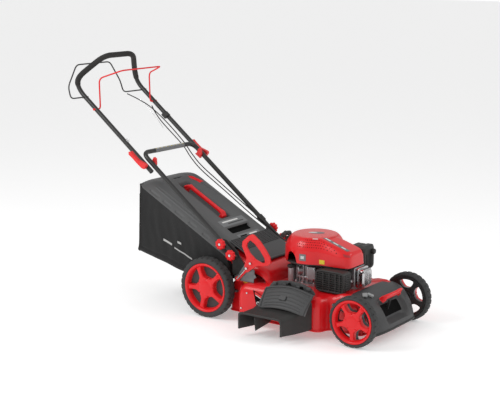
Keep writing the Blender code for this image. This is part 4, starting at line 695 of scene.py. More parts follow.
# v runs 0 at the lower rim, 1 at the crease, 2 at the top's edge and 3 at the middle
def shroudPoint(angle, v):
    low = planReach(angle, shroud["radius"], 0.234, 0.106, 0.044)
    top = planReach(angle, 0.101, 0.222, 0.078, 0.026)
    away = np.abs((np.degrees(angle) - shroud["archAt"] + 180) % 360 - 180) / shroud["archHalf"]
    arch = shroud["archRise"] * np.sqrt(np.clip(1 - away ** 2, 0, 1))
    creaseX = shroud["x"] + low * np.cos(angle)
    crease = shroud["crease"] - 0.10 * np.clip(creaseX - 0.50, 0, 1)
    topHeight = shroudTopHeight(shroud["x"] + top * np.cos(angle))
    first, second, third = np.clip(v, 0, 1), np.clip(v - 1, 0, 1), np.clip(v - 2, 0, 1)
    radius = low * (1 - 0.012 * first) + (top - low * 0.988) * second + 0.004 * np.sin(np.pi * second)
    radius = radius * (1 - third) + 1e-4 * third
    height = shroud["low"] + arch + (crease - shroud["low"] - arch) * first
    height = height + (topHeight - crease) * (1 - (1 - second) ** 1.25)
    inside = shroudTopHeight(shroud["x"] + radius * np.cos(angle)) + 0.003 * np.sin(np.pi * third / 2)
    height = np.where(third > 0, inside, height)
    return np.stack([shroud["x"] + radius * np.cos(angle), radius * np.sin(angle), height], -1)


steps = 288
levels = np.concatenate([[0, 0.03, 0.12], np.linspace(0.25, 0.96, 7), [1.0, 1.03], np.linspace(1.12, 1.9, 9),
                         [1.96, 2.0, 2.03],
                         np.linspace(2.1, 0.999 + 2, 9)])
angles, rows = np.meshgrid(np.linspace(0, 2 * np.pi, steps, endpoint=False), levels)
outer = shroudPoint(angles, rows)
within = outer.copy()
within[..., 0] = shroud["x"] + (outer[..., 0] - shroud["x"]) * 0.975
within[..., 1] = outer[..., 1] * 0.975
within[..., 2] = outer[..., 2] - 0.003 * np.clip(rows, 0, 1)
shell = np.concatenate([outer, within[::-1]])
shellFaces = gridFaces(len(shell), steps, closeRows=True, closeColumns=True)
piece("blower_shroud_look", shell.reshape(-1, 3), shellFaces, redPaint, "chassis", "red_paint",
      replaced=["blower_shroud"], sharp=28)

# starter disc on top: the raised honeycomb cells come from the material only, as lighter red lines along the cell
# edges, a painted highlight with no relief
honey = finish("honeycombRedPaintedHighlight", (0.70, 0.022, 0.030), 0.42, coat=0.2, dust=0.05, grain=700.0, depth=0.1)
tree = honey.node_tree
cells = addNode(tree, "ShaderNodeTexVoronoi", feature="DISTANCE_TO_EDGE")
cells.inputs["Scale"].default_value = 190.0
where = addNode(tree, "ShaderNodeTexCoord")
tree.links.new(where.outputs["Object"], cells.inputs["Vector"])
# the lighter red mixed in along the cell edges is a painted highlight on the raised cells
shade = addNode(tree, "ShaderNodeMapRange")
shade.inputs["From Max"].default_value = 0.18
tree.links.new(cells.outputs["Distance"], shade.inputs["Value"])
uneven = [node for node in tree.nodes if node.type == "GROUP"][0]
tree.links.new(mixColours(tree, shade.outputs[0], (0.80, 0.16, 0.15, 1), uneven.outputs["Colour"]),
               tree.nodes["Principled BSDF"].inputs["Base Color"])
discProfile = [(0.0001, 0.3985), (0.0985, 0.3985), (0.0992, 0.4025), (0.0980, 0.4045), (0.0950, 0.4058),
               (0.0860, 0.4064), (0.0600, 0.4078),
               (0.0300, 0.4088), (0.0001, 0.4092)]
piece("starter_cover_look", *turnedShape(discProfile, (shroud["x"], 0, 0), "Z", 120), honey, "chassis", "red_paint",
      replaced=["starter_cover"], sharp=30)


def ellipse(centre, half, count=40, turned=0.0):
    angle = np.linspace(0, 2 * np.pi, count, endpoint=False)
    x, y = half[0] * np.cos(angle), half[1] * np.sin(angle)
    return np.column_stack([centre[0] + x * math.cos(turned) - y * math.sin(turned),
                            centre[1] + x * math.sin(turned) + y * math.cos(turned)])


piece("emblem_oval", *plateShape(ellipse((shroud["x"] + 0.012, -0.006), (0.034, 0.019), turned=0.55), 0.4080, 0.4096,
                                 "Z", 0.0004), labelGrey,
      "chassis", "red_paint")
piece("emblem_flash", *plateShape(ellipse((shroud["x"] - 0.006, -0.012), (0.020, 0.008), turned=0.55), 0.4088,
                                  0.4101, "Z", 0.0004), labelWhite,
      "chassis", "red_paint")

# vent holes: short dark pins let into the sloping side, in four rows; their black is painted shade for the inside of
# the holes
vents = []
for row, (level, first, last) in enumerate([(1.80, 279, 322), (1.62, 268, 330), (1.44, 263, 333), (1.26, 262, 334)]):
    for k, degrees in enumerate(np.arange(first + 2.0 * (row % 2), last, 4.4)):
        angle = math.radians(degrees)
        spot = shroudPoint(np.array(angle), np.array(level))
        out = np.array([math.cos(angle) * 0.75, math.sin(angle) * 0.75, 0.66])
        vents.append(pinShape(spot - out * 0.003, spot + out * 0.0006, 0.0017 + 0.0005 * (k % 2), sides=8, soft=0.0002))
piece("shroud_vents", *merged(*vents), blackAndPaintedShade, "chassis", "red_paint", smooth=False)


def shroudPatch(name, look, first, last, low, high):
    piece(name, *patchShape(shroudPoint, (math.radians(first), math.radians(last)), (low, high),
                            outward=(0.4, -0.7, 0.3)), look,
          "chassis", "red_paint", sharp=30)


shroudPatch("shroud_square_label", labelGrey, 270, 284, 0.24, 0.74)
shroudPatch("shroud_square_mark", labelWhite, 273.5, 280.5, 0.38, 0.60)
shroudPatch("shroud_yellow_label", labelYellow, 309, 317, 0.10, 0.42)
shroudPatch("shroud_slot_label", labelWhite, 295, 308, 1.90, 1.96)
shroudPatch("shroud_badge", finish("badgeRed", (0.42, 0.01, 0.015), 0.4), 335, 341, 1.10, 1.36)

# dashed stripe on the nose's top
stripeAxis = np.array([1.0, -0.10, -shroud["fall"]])
stripeAxis /= np.linalg.norm(stripeAxis)
stripeStart = np.array([0.508, -0.052, shroudTopHeight(0.508) + 0.0010])
across = np.cross(np.array([0.0, 0.0, 1.0]), stripeAxis)
piece("nose_stripe", *blockShape(stripeStart + stripeAxis * 0.070, stripeAxis, across, 0.140, 0.021, 0.0022, 0.0005),
      labelGrey,
      "chassis", "red_paint")
for k in range(3):
    piece("nose_dash_%d" % k, *blockShape(stripeStart + stripeAxis * (0.022 + 0.045 * k) + np.array([0, 0, 0.0010]),
                                          stripeAxis, across,
                                         0.030 - 0.003 * k, 0.0085, 0.0012, 0.0003), labelWhite, "chassis", "red_paint")

# black gasket plate under the shroud
under = np.linspace(0, 2 * np.pi, 160, endpoint=False)
reach = planReach(under, shroud["radius"], 0.234, 0.106, 0.044) * 0.965
gasket = np.column_stack([shroud["x"] + reach * np.cos(under), reach * np.sin(under)])
piece("shroud_gasket", *plateShape(gasket, 0.2845, 0.2930, "Z", 0.001), blackPlastic, "chassis", "black_plastic")

# crankcase: cast ribs, boss and mounting lugs on the near side
ribs = []
for degrees in (236, 247, 258, 270, 282, 294, 306, 318):
    angle = math.radians(degrees)
    out = np.array([math.cos(angle), math.sin(angle), 0.0])
    ribs.append(blockShape(np.array([shroud["x"], 0, 0.240]) + out * 0.0945, (0, 0, 1), out, 0.080, 0.012, 0.0045, 0.001))
for degrees, height in ((246, 0.200), (268, 0.199), (300, 0.200), (322, 0.199)):
    angle = math.radians(degrees)
    out = np.array([math.cos(angle), math.sin(angle), 0.0])
    foot = np.array([shroud["x"], 0, 0.0]) + out * 0.101
    ribs.append(pinShape(foot + np.array([0, 0, 0.1855]), foot + np.array([0, 0, height]), 0.0085))
ringProfile = [(0.090, 0.216), (0.0970, 0.216), (0.0985, 0.2185), (0.0985, 0.2235), (0.0970, 0.226), (0.090, 0.226)]
ribs.append(turnedShape(ringProfile, (shroud["x"], 0, 0), "Z", 72, ring=True))
ribs.append(pinShape((0.400, -0.104, 0.250), (0.418, -0.082, 0.250), 0.020, 28, 0.002))
ribs.append(blockShape((0.474, -0.100, 0.246), (0, 0, 1), (1, 0, 0), 0.062, 0.046, 0.016, 0.003))
piece("crankcase_ribs", *merged(*ribs), castMetal, "chassis", "cast_aluminium")
bolts = []
for degrees in (246, 268, 300, 322):
    angle = math.radians(degrees)
    foot = np.array([shroud["x"] + 0.101 * math.cos(angle), 0.101 * math.sin(angle), 0.0])
    bolts.append(tubeShape(np.array([foot + [0, 0, 0.198], foot + [0, 0, 0.205]]), 0.0048, 6))
for x, z in ((0.458, 0.270), (0.490, 0.270), (0.458, 0.222), (0.490, 0.222)):
    bolts.append(pinShape((x, -0.110, z), (x, -0.1045, z), 0.0034, 12))
piece("crankcase_bolts", *merged(*bolts), brightSteel, "chassis", "bright_steel", sharp=30)
capWaist = [(0.0001, 0.2565), (0.0165, 0.2565), (0.0185, 0.2590), (0.0190, 0.2650), (0.0175, 0.2690),
            (0.0120, 0.2710), (0.0001, 0.2712)]
piece("oil_cap_look", *merged(turnedShape(capWaist, (0.3636, -0.0939, 0.0), "Z", 60,
                                          ripple=lambda height,
                                          angle: 1 + 0.035 * np.cos(14 * angle) * (height > 0.257) * (height < 0.2705)),
                              blockShape((0.3636, -0.0939, 0.2752), (0.6, -0.8, 0), (0.8, 0.6, 0), 0.026, 0.0060,
                                         0.0095, 0.0015)),
      blackPlastic, "oil_cap", "black_plastic", replaced=["oil_cap"])
gripPath = bentPath([(0.306, -0.078, 0.393), (0.300, -0.050, 0.399), (0.306, -0.022, 0.393)], 0.02, 8)
gripWidth = 0.0102 + 0.0016 * np.cos(np.linspace(-math.pi, math.pi, len(gripPath)) * 2)
piece("starter_grip_look", *merged(tubeShape(gripPath, gripWidth, 20),
                                   pinShape((0.303, -0.050, 0.396), (0.330, -0.046, 0.390), 0.0042)),
      blackPlastic, "starter_grip", "black_plastic", replaced=["starter_grip"])
piece("starter_boss", *blockShape((0.322, -0.046, 0.376), (1, 0, 0.3), (0, 1, 0), 0.030, 0.036, 0.026, 0.003),
      blackPlastic, "chassis", "black_plastic")

# muffler guard: a dark box with a frame, bars and two ribs standing off its near face
guard = {"x": (0.530, 0.678), "y": (-0.164, -0.094), "z": (0.190, 0.2885)}
middleX, middleZ = sum(guard["x"]) / 2, sum(guard["z"]) / 2
length, height = guard["x"][1] - guard["x"][0], guard["z"][1] - guard["z"][0]
guardParts = [blockShape((middleX, -0.125, middleZ), (0, 1, 0), (1, 0, 0), 0.062, length - 0.006, height - 0.006, 0.004)]
turnAngle = np.linspace(0, 2 * np.pi, 64, endpoint=False)
ringX = np.sign(np.cos(turnAngle)) * np.abs(np.cos(turnAngle)) ** 0.30
ringZ = np.sign(np.sin(turnAngle)) * np.abs(np.sin(turnAngle)) ** 0.30
framePath = np.column_stack([middleX + ringX * (length / 2 - 0.0045), np.full(64, -0.158),
                             middleZ + ringZ * (height / 2 - 0.0045)])
guardParts.append(tubeShape(framePath, 0.0048, 10, closed=True))
barPitch = (height - 0.020) / 8
for k in range(9):
    level = guard["z"][0] + 0.010 + barPitch * k
    guardParts.append(blockShape((middleX, -0.1585, level), (1, 0, 0), (0, 1, 0.35), length - 0.012, 0.0080, 0.0028, 0.0006))
for x in (0.572, 0.603, 0.634, 0.655):
    guardParts.append(blockShape((x, -0.159, middleZ), (0, 0, 1), (1, 0, 0), height - 0.014, 0.0050, 0.0085, 0.0008))
for k in range(7):
    guardParts.append(blockShape((0.6755, -0.128, guard["z"][0] + 0.018 + 0.0105 * k), (0, 1, 0), (1, 0, 0.4), 0.040,
                                 0.0055, 0.0028, 0.0006))
piece("muffler_guard_look", *merged(*guardParts), blackPlastic, "chassis", "black_plastic", replaced=["muffler_guard"])
piece("muffler_bolt", *merged(pinShape((0.6765, -0.102, 0.240), (0.6815, -0.102, 0.240), 0.0058),
                              pinShape((0.6800, -0.102, 0.240), (0.6845, -0.102, 0.240), 0.0034, 6, 0.0003)),
      brightSteel, "chassis", "bright_steel")

# valve cover: a flanged box with upright ridges
coverParts = [blockShape((0.6740, 0.000, 0.240), (1, 0, 0), (0, 1, 0), 0.012, 0.092, 0.090, 0.001),
              blockShape((0.6900, 0.000, 0.240), (1, 0, 0), (0, 1, 0), 0.028, 0.078, 0.076, 0.006)]
for y in (-0.030, 0.006):
    coverParts.append(blockShape((0.7010, y, 0.240), (0, 0, 1), (0, 1, 0), 0.070, 0.0055, 0.0075, 0.001))
coverParts.append(blockShape((0.6890, -0.0405, 0.262), (1, 0, 0.75), (0, 1, 0), 0.044, 0.006, 0.008, 0.001))
piece("valve_cover_look", *merged(*coverParts), brightSteel, "chassis", "bright_steel", replaced=["valve_cover"])

# air filter: body and cover of one softened box each, a seam between them and a knurled knob
filterParts = [blockShape((0.596, 0.0965, 0.305), (1, 0, 0), (0, 1, 0), 0.042, 0.090, 0.106, 0.004),
               blockShape((0.6375, 0.0965, 0.305), (1, 0, 0), (0, 1, 0), 0.036, 0.095, 0.111, 0.007),
               blockShape((0.616, 0.0965, 0.305), (1, 0, 0), (0, 1, 0), 0.010, 0.086, 0.102, 0.001)]
for k in range(5):
    filterParts.append(blockShape((0.6565, 0.072 + 0.012 * k, 0.292), (0, 0, 1), (0, 1, 0), 0.062, 0.0028, 0.0030, 0.0006))
piece("air_filter_look", *merged(*filterParts), blackPlastic, "chassis", "black_plastic", replaced=["air_filter_box"])
knobProfile = [(0.0001, 0.0), (0.0110, 0.0), (0.0122, 0.0030), (0.0120, 0.0120), (0.0100, 0.0150), (0.0001, 0.0160)]
piece("air_filter_knob_look", *turnedShape(knobProfile, (0.6562, 0.118, 0.330), "X", 60,
                                           ripple=lambda height, angle: 1 + 0.05 * np.cos(12 * angle) * (height > 0.001)),
      blackPlastic, "air_filter_knob", "black_plastic", replaced=["air_filter_knob"])
piece("fuel_line", *tubeShape(bentPath([(0.500, 0.150, 0.225), (0.560, 0.118, 0.215), (0.600, 0.100, 0.240),
                                        (0.605, 0.098, 0.262)], 0.02, 8), 0.004, 12),
      cableBlack, "chassis", "black_plastic")
print("engine made")


# a closed outline with every corner rounded
def roundedLoop(points, bend, steps=7):
    points = [np.asarray(point, float) for point in points]
    loop = []
    for k, corner in enumerate(points):
        back, ahead = points[k - 1] - corner, points[(k + 1) % len(points)] - corner
        start = corner + back / np.linalg.norm(back) * min(bend, 0.48 * np.linalg.norm(back))
        stop = corner + ahead / np.linalg.norm(ahead) * min(bend, 0.48 * np.linalg.norm(ahead))
        t = np.linspace(0.0, 1.0, steps + 1)[:, None]
        loop.extend((1 - t) ** 2 * start + 2 * t * (1 - t) * corner + t ** 2 * stop)
    return np.array(loop)


deck = {"top": 0.185, "bottom": 0.033, "wide": 0.250, "neck": 0.186, "rear": 0.086, "front": 0.785, "from": 0.179,
        "to": 0.604}
half = [(deck["rear"], -deck["neck"]), (deck["from"] - 0.022, -deck["neck"]), (deck["from"], -deck["wide"]),
        (0.39, -deck["wide"]),
        (deck["to"], -deck["wide"]), (deck["to"] + 0.018, -deck["neck"]), (deck["front"], -deck["neck"])]
deckLoop = roundedLoop(half + [(x, -y) for x, y in reversed(half)], 0.026)
spacing = np.linspace(0, 1, 9)[1:-1, None]
dense = []
for first, second in zip(deckLoop, np.roll(deckLoop, -1, axis=0)):
    dense.append(first[None])
    if np.linalg.norm(second - first) > 0.03:
        dense.append(first + (second - first) * spacing)
deckLoop = np.concatenate(dense)


# the outline drawn in towards the crank's place by a share, the top raised a little ahead of the engine
def deckRing(share, height, raised=0.0):
    x = 0.430 + (deckLoop[:, 0] - 0.430) * share
    y = deckLoop[:, 1] * share
    ahead = np.clip((x - 0.635) / 0.030, 0, 1) * np.clip((0.735 - x) / 0.02, 0, 1)
    return np.column_stack([x, y, height + raised * ahead])


deckRows = [(1.012, 0.0330, 0), (1.016, 0.0345, 0), (1.016, 0.0375, 0), (1.004, 0.0400, 0), (1.0, 0.0450, 0),
            (1.0, 0.0900, 0), (1.0, 0.1280, 0),
            (0.9985, 0.1400, 0), (0.994, 0.1500, 0), (0.984, 0.1600, 0), (0.968, 0.1690, 0.002),
            (0.946, 0.1760, 0.005), (0.918, 0.1815, 0.009),
            (0.885, 0.1845, 0.012), (0.84, 0.1858, 0.013), (0.60, 0.1860, 0), (0.28, 0.1860, 0)]
deckOuter = [deckRing(*row) for row in deckRows]
deckInner = [deckRing(share - 0.010, height if k == 0 else height - 0.0025, raised) for k,
             (share, height, raised) in enumerate(deckRows)]
deckPoints = np.concatenate(deckOuter + deckInner[::-1])
deckFaces = gridFaces(2 * len(deckRows), len(deckLoop), closeRows=True, closeColumns=True)
piece("deck_shell_look", deckPoints, deckFaces, redPaint, "chassis", "red_paint", replaced=["deck_shell"], sharp=45)


# discharge tunnel: its rounded roof, with ends that draw in
def tunnelSection(y):
    away = np.clip((abs(y) - 0.138) / 0.034, 0, 1)
    share = 0.55 + 0.45 * math.sqrt(1 - away ** 2)
    roof = bentPath([(0.302, 0, 0.1855), (0.292, 0, 0.224), (0.250, 0, 0.254), (0.205, 0, 0.262), (0.150, 0, 0.280),
                     (0.090, 0, 0.307)], 0.03, 7)
    x, z = roof[:, 0], roof[:, 2]
    return np.column_stack([0.088 + (x - 0.088) * (0.80 + 0.20 * share), np.full(len(x), y), 0.1855 + (z - 0.1855) * share])


stations = np.concatenate([-0.138 - 0.034 * np.sin(np.linspace(math.pi / 2, 0, 12)), np.linspace(-0.12, 0.12, 13),
                           0.138 + 0.034 * np.sin(np.linspace(0, math.pi / 2, 12))])
roofs = np.array([tunnelSection(y) for y in stations])
under = roofs.copy()
under[..., 0] -= 0.003
under[..., 2] = np.maximum(under[..., 2] - 0.003, 0.1850)
profile = np.concatenate([roofs, under[:, ::-1]], axis=1)
tunnelFaces = cappedRings(len(stations), profile.shape[1])
piece("discharge_tunnel_look", profile.reshape(-1, 3), tunnelFaces, redPaint, "chassis", "red_paint",
      replaced=["discharge_tunnel"], sharp=45)


def wallPlate(name, outline, look, low, high):
    shape = plateShape(np.array(outline), low, high, "Y", 0.0003)
    piece(name, *shape, look, "chassis", "red_paint", sharp=30)


wallPlate("deck_warning_dark", [(0.262, 0.170), (0.330, 0.141), (0.281, 0.093)], blackAndPaintedShade, -0.2512, -0.2500)
wallPlate("deck_warning_flash", [(0.272, 0.164), (0.322, 0.1425), (0.312, 0.1345), (0.272, 0.1520)], redPlastic,
          -0.2517, -0.2505)
wallPlate("deck_warning_line", [(0.276, 0.1505), (0.314, 0.1340), (0.311, 0.1310), (0.276, 0.1460)], labelWhite,
          -0.2517, -0.2505)
wallPlate("deck_warning_sign", ellipse((0.289, 0.112), (0.0085, 0.0085)), labelWhite, -0.2517, -0.2505)
wallPlate("deck_warning_spot", ellipse((0.289, 0.112), (0.0045, 0.0045)), blackAndPaintedShade, -0.2521, -0.2508)
piece("deck_yellow_label", *blockShape((0.205, -0.1960, 0.1790), (1, -0.08, 0), (0, 1, -0.42), 0.060, 0.024, 0.0016,
                                       0.0004), labelYellow,
      "chassis", "red_paint")
screws = [pinShape((x, -0.2495, z), (x, -0.2530, z), 0.0042, 18, 0.0008) for x, z in ((0.228, 0.150), (0.196, 0.075))]
piece("deck_screws", *merged(*screws), brightSteel, "chassis", "bright_steel")

# side chute: an upside-down channel, rounded on top, with a thick lip round its mouth
chute = {"inner": 0.2505, "reach": 0.148, "wall": 0.0034}


def chuteRing(y, rear, front, low, top, shrink):
    rear, front, top = rear + shrink, front - shrink, top - shrink
    path = bentPath([(rear, 0, low), (rear, 0, top), (front, 0, top), (front, 0, low)], 0.020 - shrink * 0.6, 8)
    path[:, 1] = y
    return path


chuteStations = []
for share, rear, front, low, top, shrink in ((0.0, 0.338, 0.572, 0.042, 0.170, 0),
                                             (0.12, 0.336, 0.569, 0.040, 0.162, 0), (0.33, 0.322, 0.552, 0.036, 0.136, 0),
                                             (0.55, 0.312, 0.538, 0.034, 0.118, 0), (0.94, 0.289, 0.510, 0.033, 0.107, 0),
                                             (0.952, 0.286, 0.512, 0.033, 0.110, 0),
                                             (0.99, 0.284, 0.512, 0.033, 0.110, 0), (1.0, 0.2855, 0.5105, 0.033, 0.1085, 0),
                                             (1.0, 0.2855, 0.5105, 0.033, 0.1085, 0.0065),
                                             (0.95, 0.289, 0.510, 0.033, 0.107, 0.0040),
                                             (0.55, 0.312, 0.538, 0.034, 0.118, 0.0034),
                                             (0.33, 0.322, 0.552, 0.036, 0.136, 0.0034),
                                             (0.0, 0.338, 0.572, 0.042, 0.170, 0.0034)):
    chuteStations.append(chuteRing(-chute["inner"] - chute["reach"] * share, rear, front, low, top, shrink))
chutePoints = np.array(chuteStations)
chuteCount = chutePoints.shape[1]
chuteFaces = gridFaces(len(chuteStations), chuteCount, closeRows=True)
chuteFaces.append([k * chuteCount for k in range(len(chuteStations))][::-1])
chuteFaces.append([k * chuteCount + chuteCount - 1 for k in range(len(chuteStations))])
ribParts = [(chutePoints.reshape(-1, 3), chuteFaces)]
ribParts.append(blockShape((0.395, -0.300, 0.118), (0, 1, 0.30), (1, 0, 0), 0.070, 0.003, 0.010, 0.0006))
ribParts.append(blockShape((0.366, -0.326, 0.070), (0, 1, 0.10), (0, 0, 1), 0.120, 0.064, 0.003, 0.0006))
piece("side_chute_look", *merged(*ribParts), blackPlastic, "chassis", "black_plastic", replaced=["side_chute"], sharp=45)

# side flap: a bowed plate with a raised border, curved ribs and a small latch
hingeY, hingeZ = -0.240, 0.217


def flapPoint(x, down):
    share = np.clip(down, 0, 1)
    bow = 0.010 * np.sin(np.pi * np.clip((x - 0.335) / 0.248, 0, 1))
    y = hingeY - 0.080 * share - 0.006 * np.sin(np.pi * share) - 0.004
    z = hingeZ - 0.090 * share + bow * (1 - 0.6 * share) - 0.012 * (1 - np.sin(np.pi * np.clip((x - 0.335) / 0.248, 0, 1)))
    return np.stack([x, y, z], -1)


flapLook = {"rear": 0.336, "front": 0.583}
flapParts = [patchShape(flapPoint, (flapLook["rear"], flapLook["front"]), (0.10, 1.0), lift=0.0, thick=0.0015, n=40,
                        m=24, outward=(0, -1, 0.6))]
corners = roundedLoop([(0.339, 0.14), (0.580, 0.14), (0.571, 0.97), (0.350, 0.97)], 0.035)
border = np.concatenate([np.linspace(a, b, 6)[:-1] for a, b in zip(corners, np.roll(corners, -1, axis=0))])
borderPath = flapPoint(border[:, 0], border[:, 1]) + np.array([0, -0.0022, 0.0014])
flapParts.append(tubeShape(borderPath, 0.0036, 8, closed=True))
for level, first, last in ((0.20, 0.352, 0.566), (0.33, 0.352, 0.564), (0.47, 0.356, 0.430), (0.47, 0.474, 0.562),
                           (0.60, 0.358, 0.430), (0.60, 0.474, 0.560),
                           (0.74, 0.360, 0.556), (0.85, 0.366, 0.552)):
    x = np.linspace(first, last, 30)
    sag = level + 0.05 * ((x - 0.459) / 0.12) ** 2
    flapParts.append(tubeShape(flapPoint(x, sag) + np.array([0, -0.0012, 0.0008]), 0.0024, 8))
flapParts.append(blockShape(flapPoint(np.array(0.452), np.array(0.56)) + np.array([0, -0.004, 0.002]), (1, 0, 0),
                            (0, 0.67, 0.75), 0.034, 0.022, 0.008, 0.0012))
piece("side_flap_look", *merged(*flapParts), greyPlastic, "side_flap", "black_plastic", replaced=["side_flap"], sharp=40)
arch = bentPath([(0.340, 0, 0.196), (0.352, 0, 0.216), (0.400, 0, 0.232), (0.458, 0, 0.237), (0.520, 0, 0.231),
                 (0.566, 0, 0.214), (0.580, 0, 0.190),
                 (0.552, 0, 0.186), (0.458, 0, 0.190), (0.362, 0, 0.188)], 0.02, 6)
archShape = plateShape(arch[:, [0, 2]], -0.2365, -0.2290, "Y", 0.0014)
ears = [blockShape((x, -0.2390, 0.217), (1, 0, 0), (0, 1, 0), 0.020, 0.011, 0.012, 0.002) for x in (0.372, 0.424,
                                                            0.494, 0.548)]
piece("flap_hinge_plate", *merged(archShape, *ears), greyPlastic, "chassis", "black_plastic", replaced=["side_flap_bracket"])
pins = [pinShape((x, -0.2335, z), (x, -0.2465, z), 0.0050, 18) for x, z in ((0.448, 0.224), (0.512, 0.216))]
piece("flap_hinge_pins", *merged(*pins), blackAndPaintedShade, "chassis", "black_plastic")

# rear flap: a ribbed plate whose top carries a grid
flapAlong = np.array([0.060 - 0.224, 0.0, 0.350 - 0.266])
flapAlong /= np.linalg.norm(flapAlong)
flapUp = np.array([-flapAlong[2], 0.0, flapAlong[0]]) * -1
flapMiddle = np.array([0.142, 0.0, 0.308])
rearParts = [blockShape(flapMiddle, flapAlong, (0, 1, 0), 0.180, 0.312, 0.0045, 0.001),
             pinShape((0.224, -0.158, 0.268), (0.224, 0.158, 0.268), 0.0066)]
for k in range(9):
    rearParts.append(blockShape(flapMiddle + flapAlong * (0.012 + 0.009 * k) + flapUp * 0.0035, (0, 1, 0), flapAlong,
                                0.300, 0.0025, 0.0040, 0.0006))
for y in np.linspace(-0.145, 0.145, 21):
    rearParts.append(blockShape(flapMiddle + flapAlong * 0.048 + flapUp * 0.0035 + np.array([0, y, 0]), flapAlong,
                                (0, 1, 0), 0.078, 0.0025, 0.0040, 0.0006))
piece("rear_flap_look", *merged(*rearParts), greyPlastic, "rear_flap", "grey_plastic", replaced=["rear_flap"])

# front cover: curved sections drawn in towards both ends, a recess under the lifting band
cover = {"half": 0.189, "rear": 0.700}
coverRoof = bentPath([(0.0, 0, 0.1950), (0.040, 0, 0.1945), (0.085, 0, 0.184), (0.118, 0, 0.160), (0.145, 0, 0.125),
                      (0.163, 0, 0.085), (0.168, 0, 0.047)], 0.03, 5)


def coverSection(y, drop=0.0):
    away = abs(y) / cover["half"]
    squeeze = 0.56 + 0.44 * math.sqrt(1 - (away * 0.93) ** 4)
    dent = 0.030 * np.clip(1 - (abs(y - 0.004) / 0.100) ** 6, 0, 1)
    x, z = coverRoof[:, 0] * squeeze, coverRoof[:, 2] - 0.010 * away ** 4
    level = np.clip((coverRoof[:, 2] - 0.075) / 0.020, 0, 1) * np.clip((0.172 - coverRoof[:, 2]) / 0.016, 0, 1)
    return np.column_stack([cover["rear"] + x - dent * level - drop, np.full(len(x), y), z - dent * level * 0.35 - drop])


coverY = cover["half"] * np.sin(np.linspace(-math.pi / 2, math.pi / 2, 61))
coverOuter = np.array([coverSection(y) for y in coverY])
coverInner = np.array([coverSection(y, 0.003) for y in coverY])
coverGrid = np.concatenate([coverOuter, coverInner[:, ::-1]], axis=1)
coverFaces = cappedRings(len(coverY), coverGrid.shape[1])
piece("front_cover_look", coverGrid.reshape(-1, 3), coverFaces, greyPlastic, "chassis", "grey_plastic",
      replaced=["front_cover"], sharp=45)
lipPath = np.array([coverSection(y)[-1] + np.array([-0.001, 0, 0.004]) for y in coverY])
ribs = [tubeShape(lipPath, 0.0048, 10)]
ribs.append(blockShape((0.812, -0.012, 0.130), (0.30, 0, 1), (1, 0, 0), 0.062, 0.012, 0.0035, 0.0008))
piece("front_cover_lip", *merged(*ribs), blackPlastic, "chassis", "black_plastic")
# a black sheet laid just over the recess under the lifting band: painted shade in the recess
cavityY = np.linspace(-0.074, 0.082, 30)
cavityRows = [coverSection(y) for y in cavityY]
cavityTop = np.array([row[(coverRoof[:, 2] > 0.098) & (coverRoof[:, 2] < 0.152)] + np.array([0.0010, 0,
                                                            0.0006]) for row in cavityRows])
cavityBoth = np.concatenate([cavityTop, (cavityTop - np.array([0.0022, 0, 0.0012]))[:, ::-1]], axis=1)
cavityFaces = cappedRings(len(cavityY), cavityBoth.shape[1])
piece("front_recess_painted_shade", cavityBoth.reshape(-1, 3), cavityFaces, blackAndPaintedShade, "chassis", "grey_plastic", sharp=60)
fitting = [blockShape((0.757, -0.118, 0.196), (0.5, -0.85, 0.0), (0.85, 0.5, 0), 0.040, 0.022, 0.010, 0.003),
           blockShape((0.770, -0.094, 0.192), (1, 0.2, -0.3), (0, 1, 0), 0.030, 0.018, 0.010, 0.003)]
piece("front_fitting", *merged(*fitting), finish("fittingGrey", (0.30, 0.31, 0.31), 0.38, dust=0.05, grain=500.0,
                                                 depth=0.15), "chassis", "grey_plastic")


# lifting band: a flattened bar with rounded corners, carried along a bent path
def bandShape(path, direction, wide, thick, sides=20, bend=0.45):
    path = np.asarray(path, float)
    tangent = np.gradient(path, axis=0)
    tangent /= np.linalg.norm(tangent, axis=1)[:, None]
    across = np.asarray(direction, float) - (tangent @ np.asarray(direction, float))[:, None] * tangent
    across /= np.linalg.norm(across, axis=1)[:, None]
    up = np.cross(tangent, across)
    angle = np.linspace(0, 2 * np.pi, sides, endpoint=False)
    u = np.sign(np.cos(angle)) * np.abs(np.cos(angle)) ** bend * wide / 2
    v = np.sign(np.sin(angle)) * np.abs(np.sin(angle)) ** bend * thick / 2
    points = path[:, None] + u[None, :, None] * across[:, None] + v[None, :, None] * up[:, None]
    return points.reshape(-1, 3), cappedRings(len(path), sides)


bandPath = bentPath([(0.812, -0.073, 0.1700), (0.833, -0.069, 0.1880), (0.838, -0.040, 0.190), (0.838, 0.040, 0.190),
                     (0.833, 0.069, 0.1880),
                     (0.812, 0.073, 0.1700)], 0.014, 8)
piece("front_band", *bandShape(bandPath, (0.45, 0, 0.9), 0.026, 0.010), redPlastic, "chassis", "red_plastic",
      replaced=["front_grab_handle"], sharp=60)
barStart, barEnd = np.array([0.640, 0.205, 0.152]), np.array([0.775, 0.212, 0.116])
piece("left_front_arm", *blockShape((barStart + barEnd) / 2, barEnd - barStart, (0, 1, 0), 0.150, 0.008, 0.018,
                                    0.002), blackPlastic, "front_axle", "dark_steel")
leverBolts = [pinShape((x, -0.2185, z), (x, -0.2245, z), 0.0062, 6, 0.0008) for x, z in ((0.225, 0.279), (0.203, 0.253))]
piece("height_lever_bolts", *merged(*leverBolts), brightSteel, "height_lever", "bright_steel")
turns = np.linspace(0, 7 * 2 * np.pi, 220)
springAxis = np.array([0.166, -0.2150, 0.2135]) - np.array([0.148, -0.2150, 0.1940])
springAlong = springAxis / np.linalg.norm(springAxis)
springAcross = np.cross(springAlong, (0.0, 1.0, 0.0))
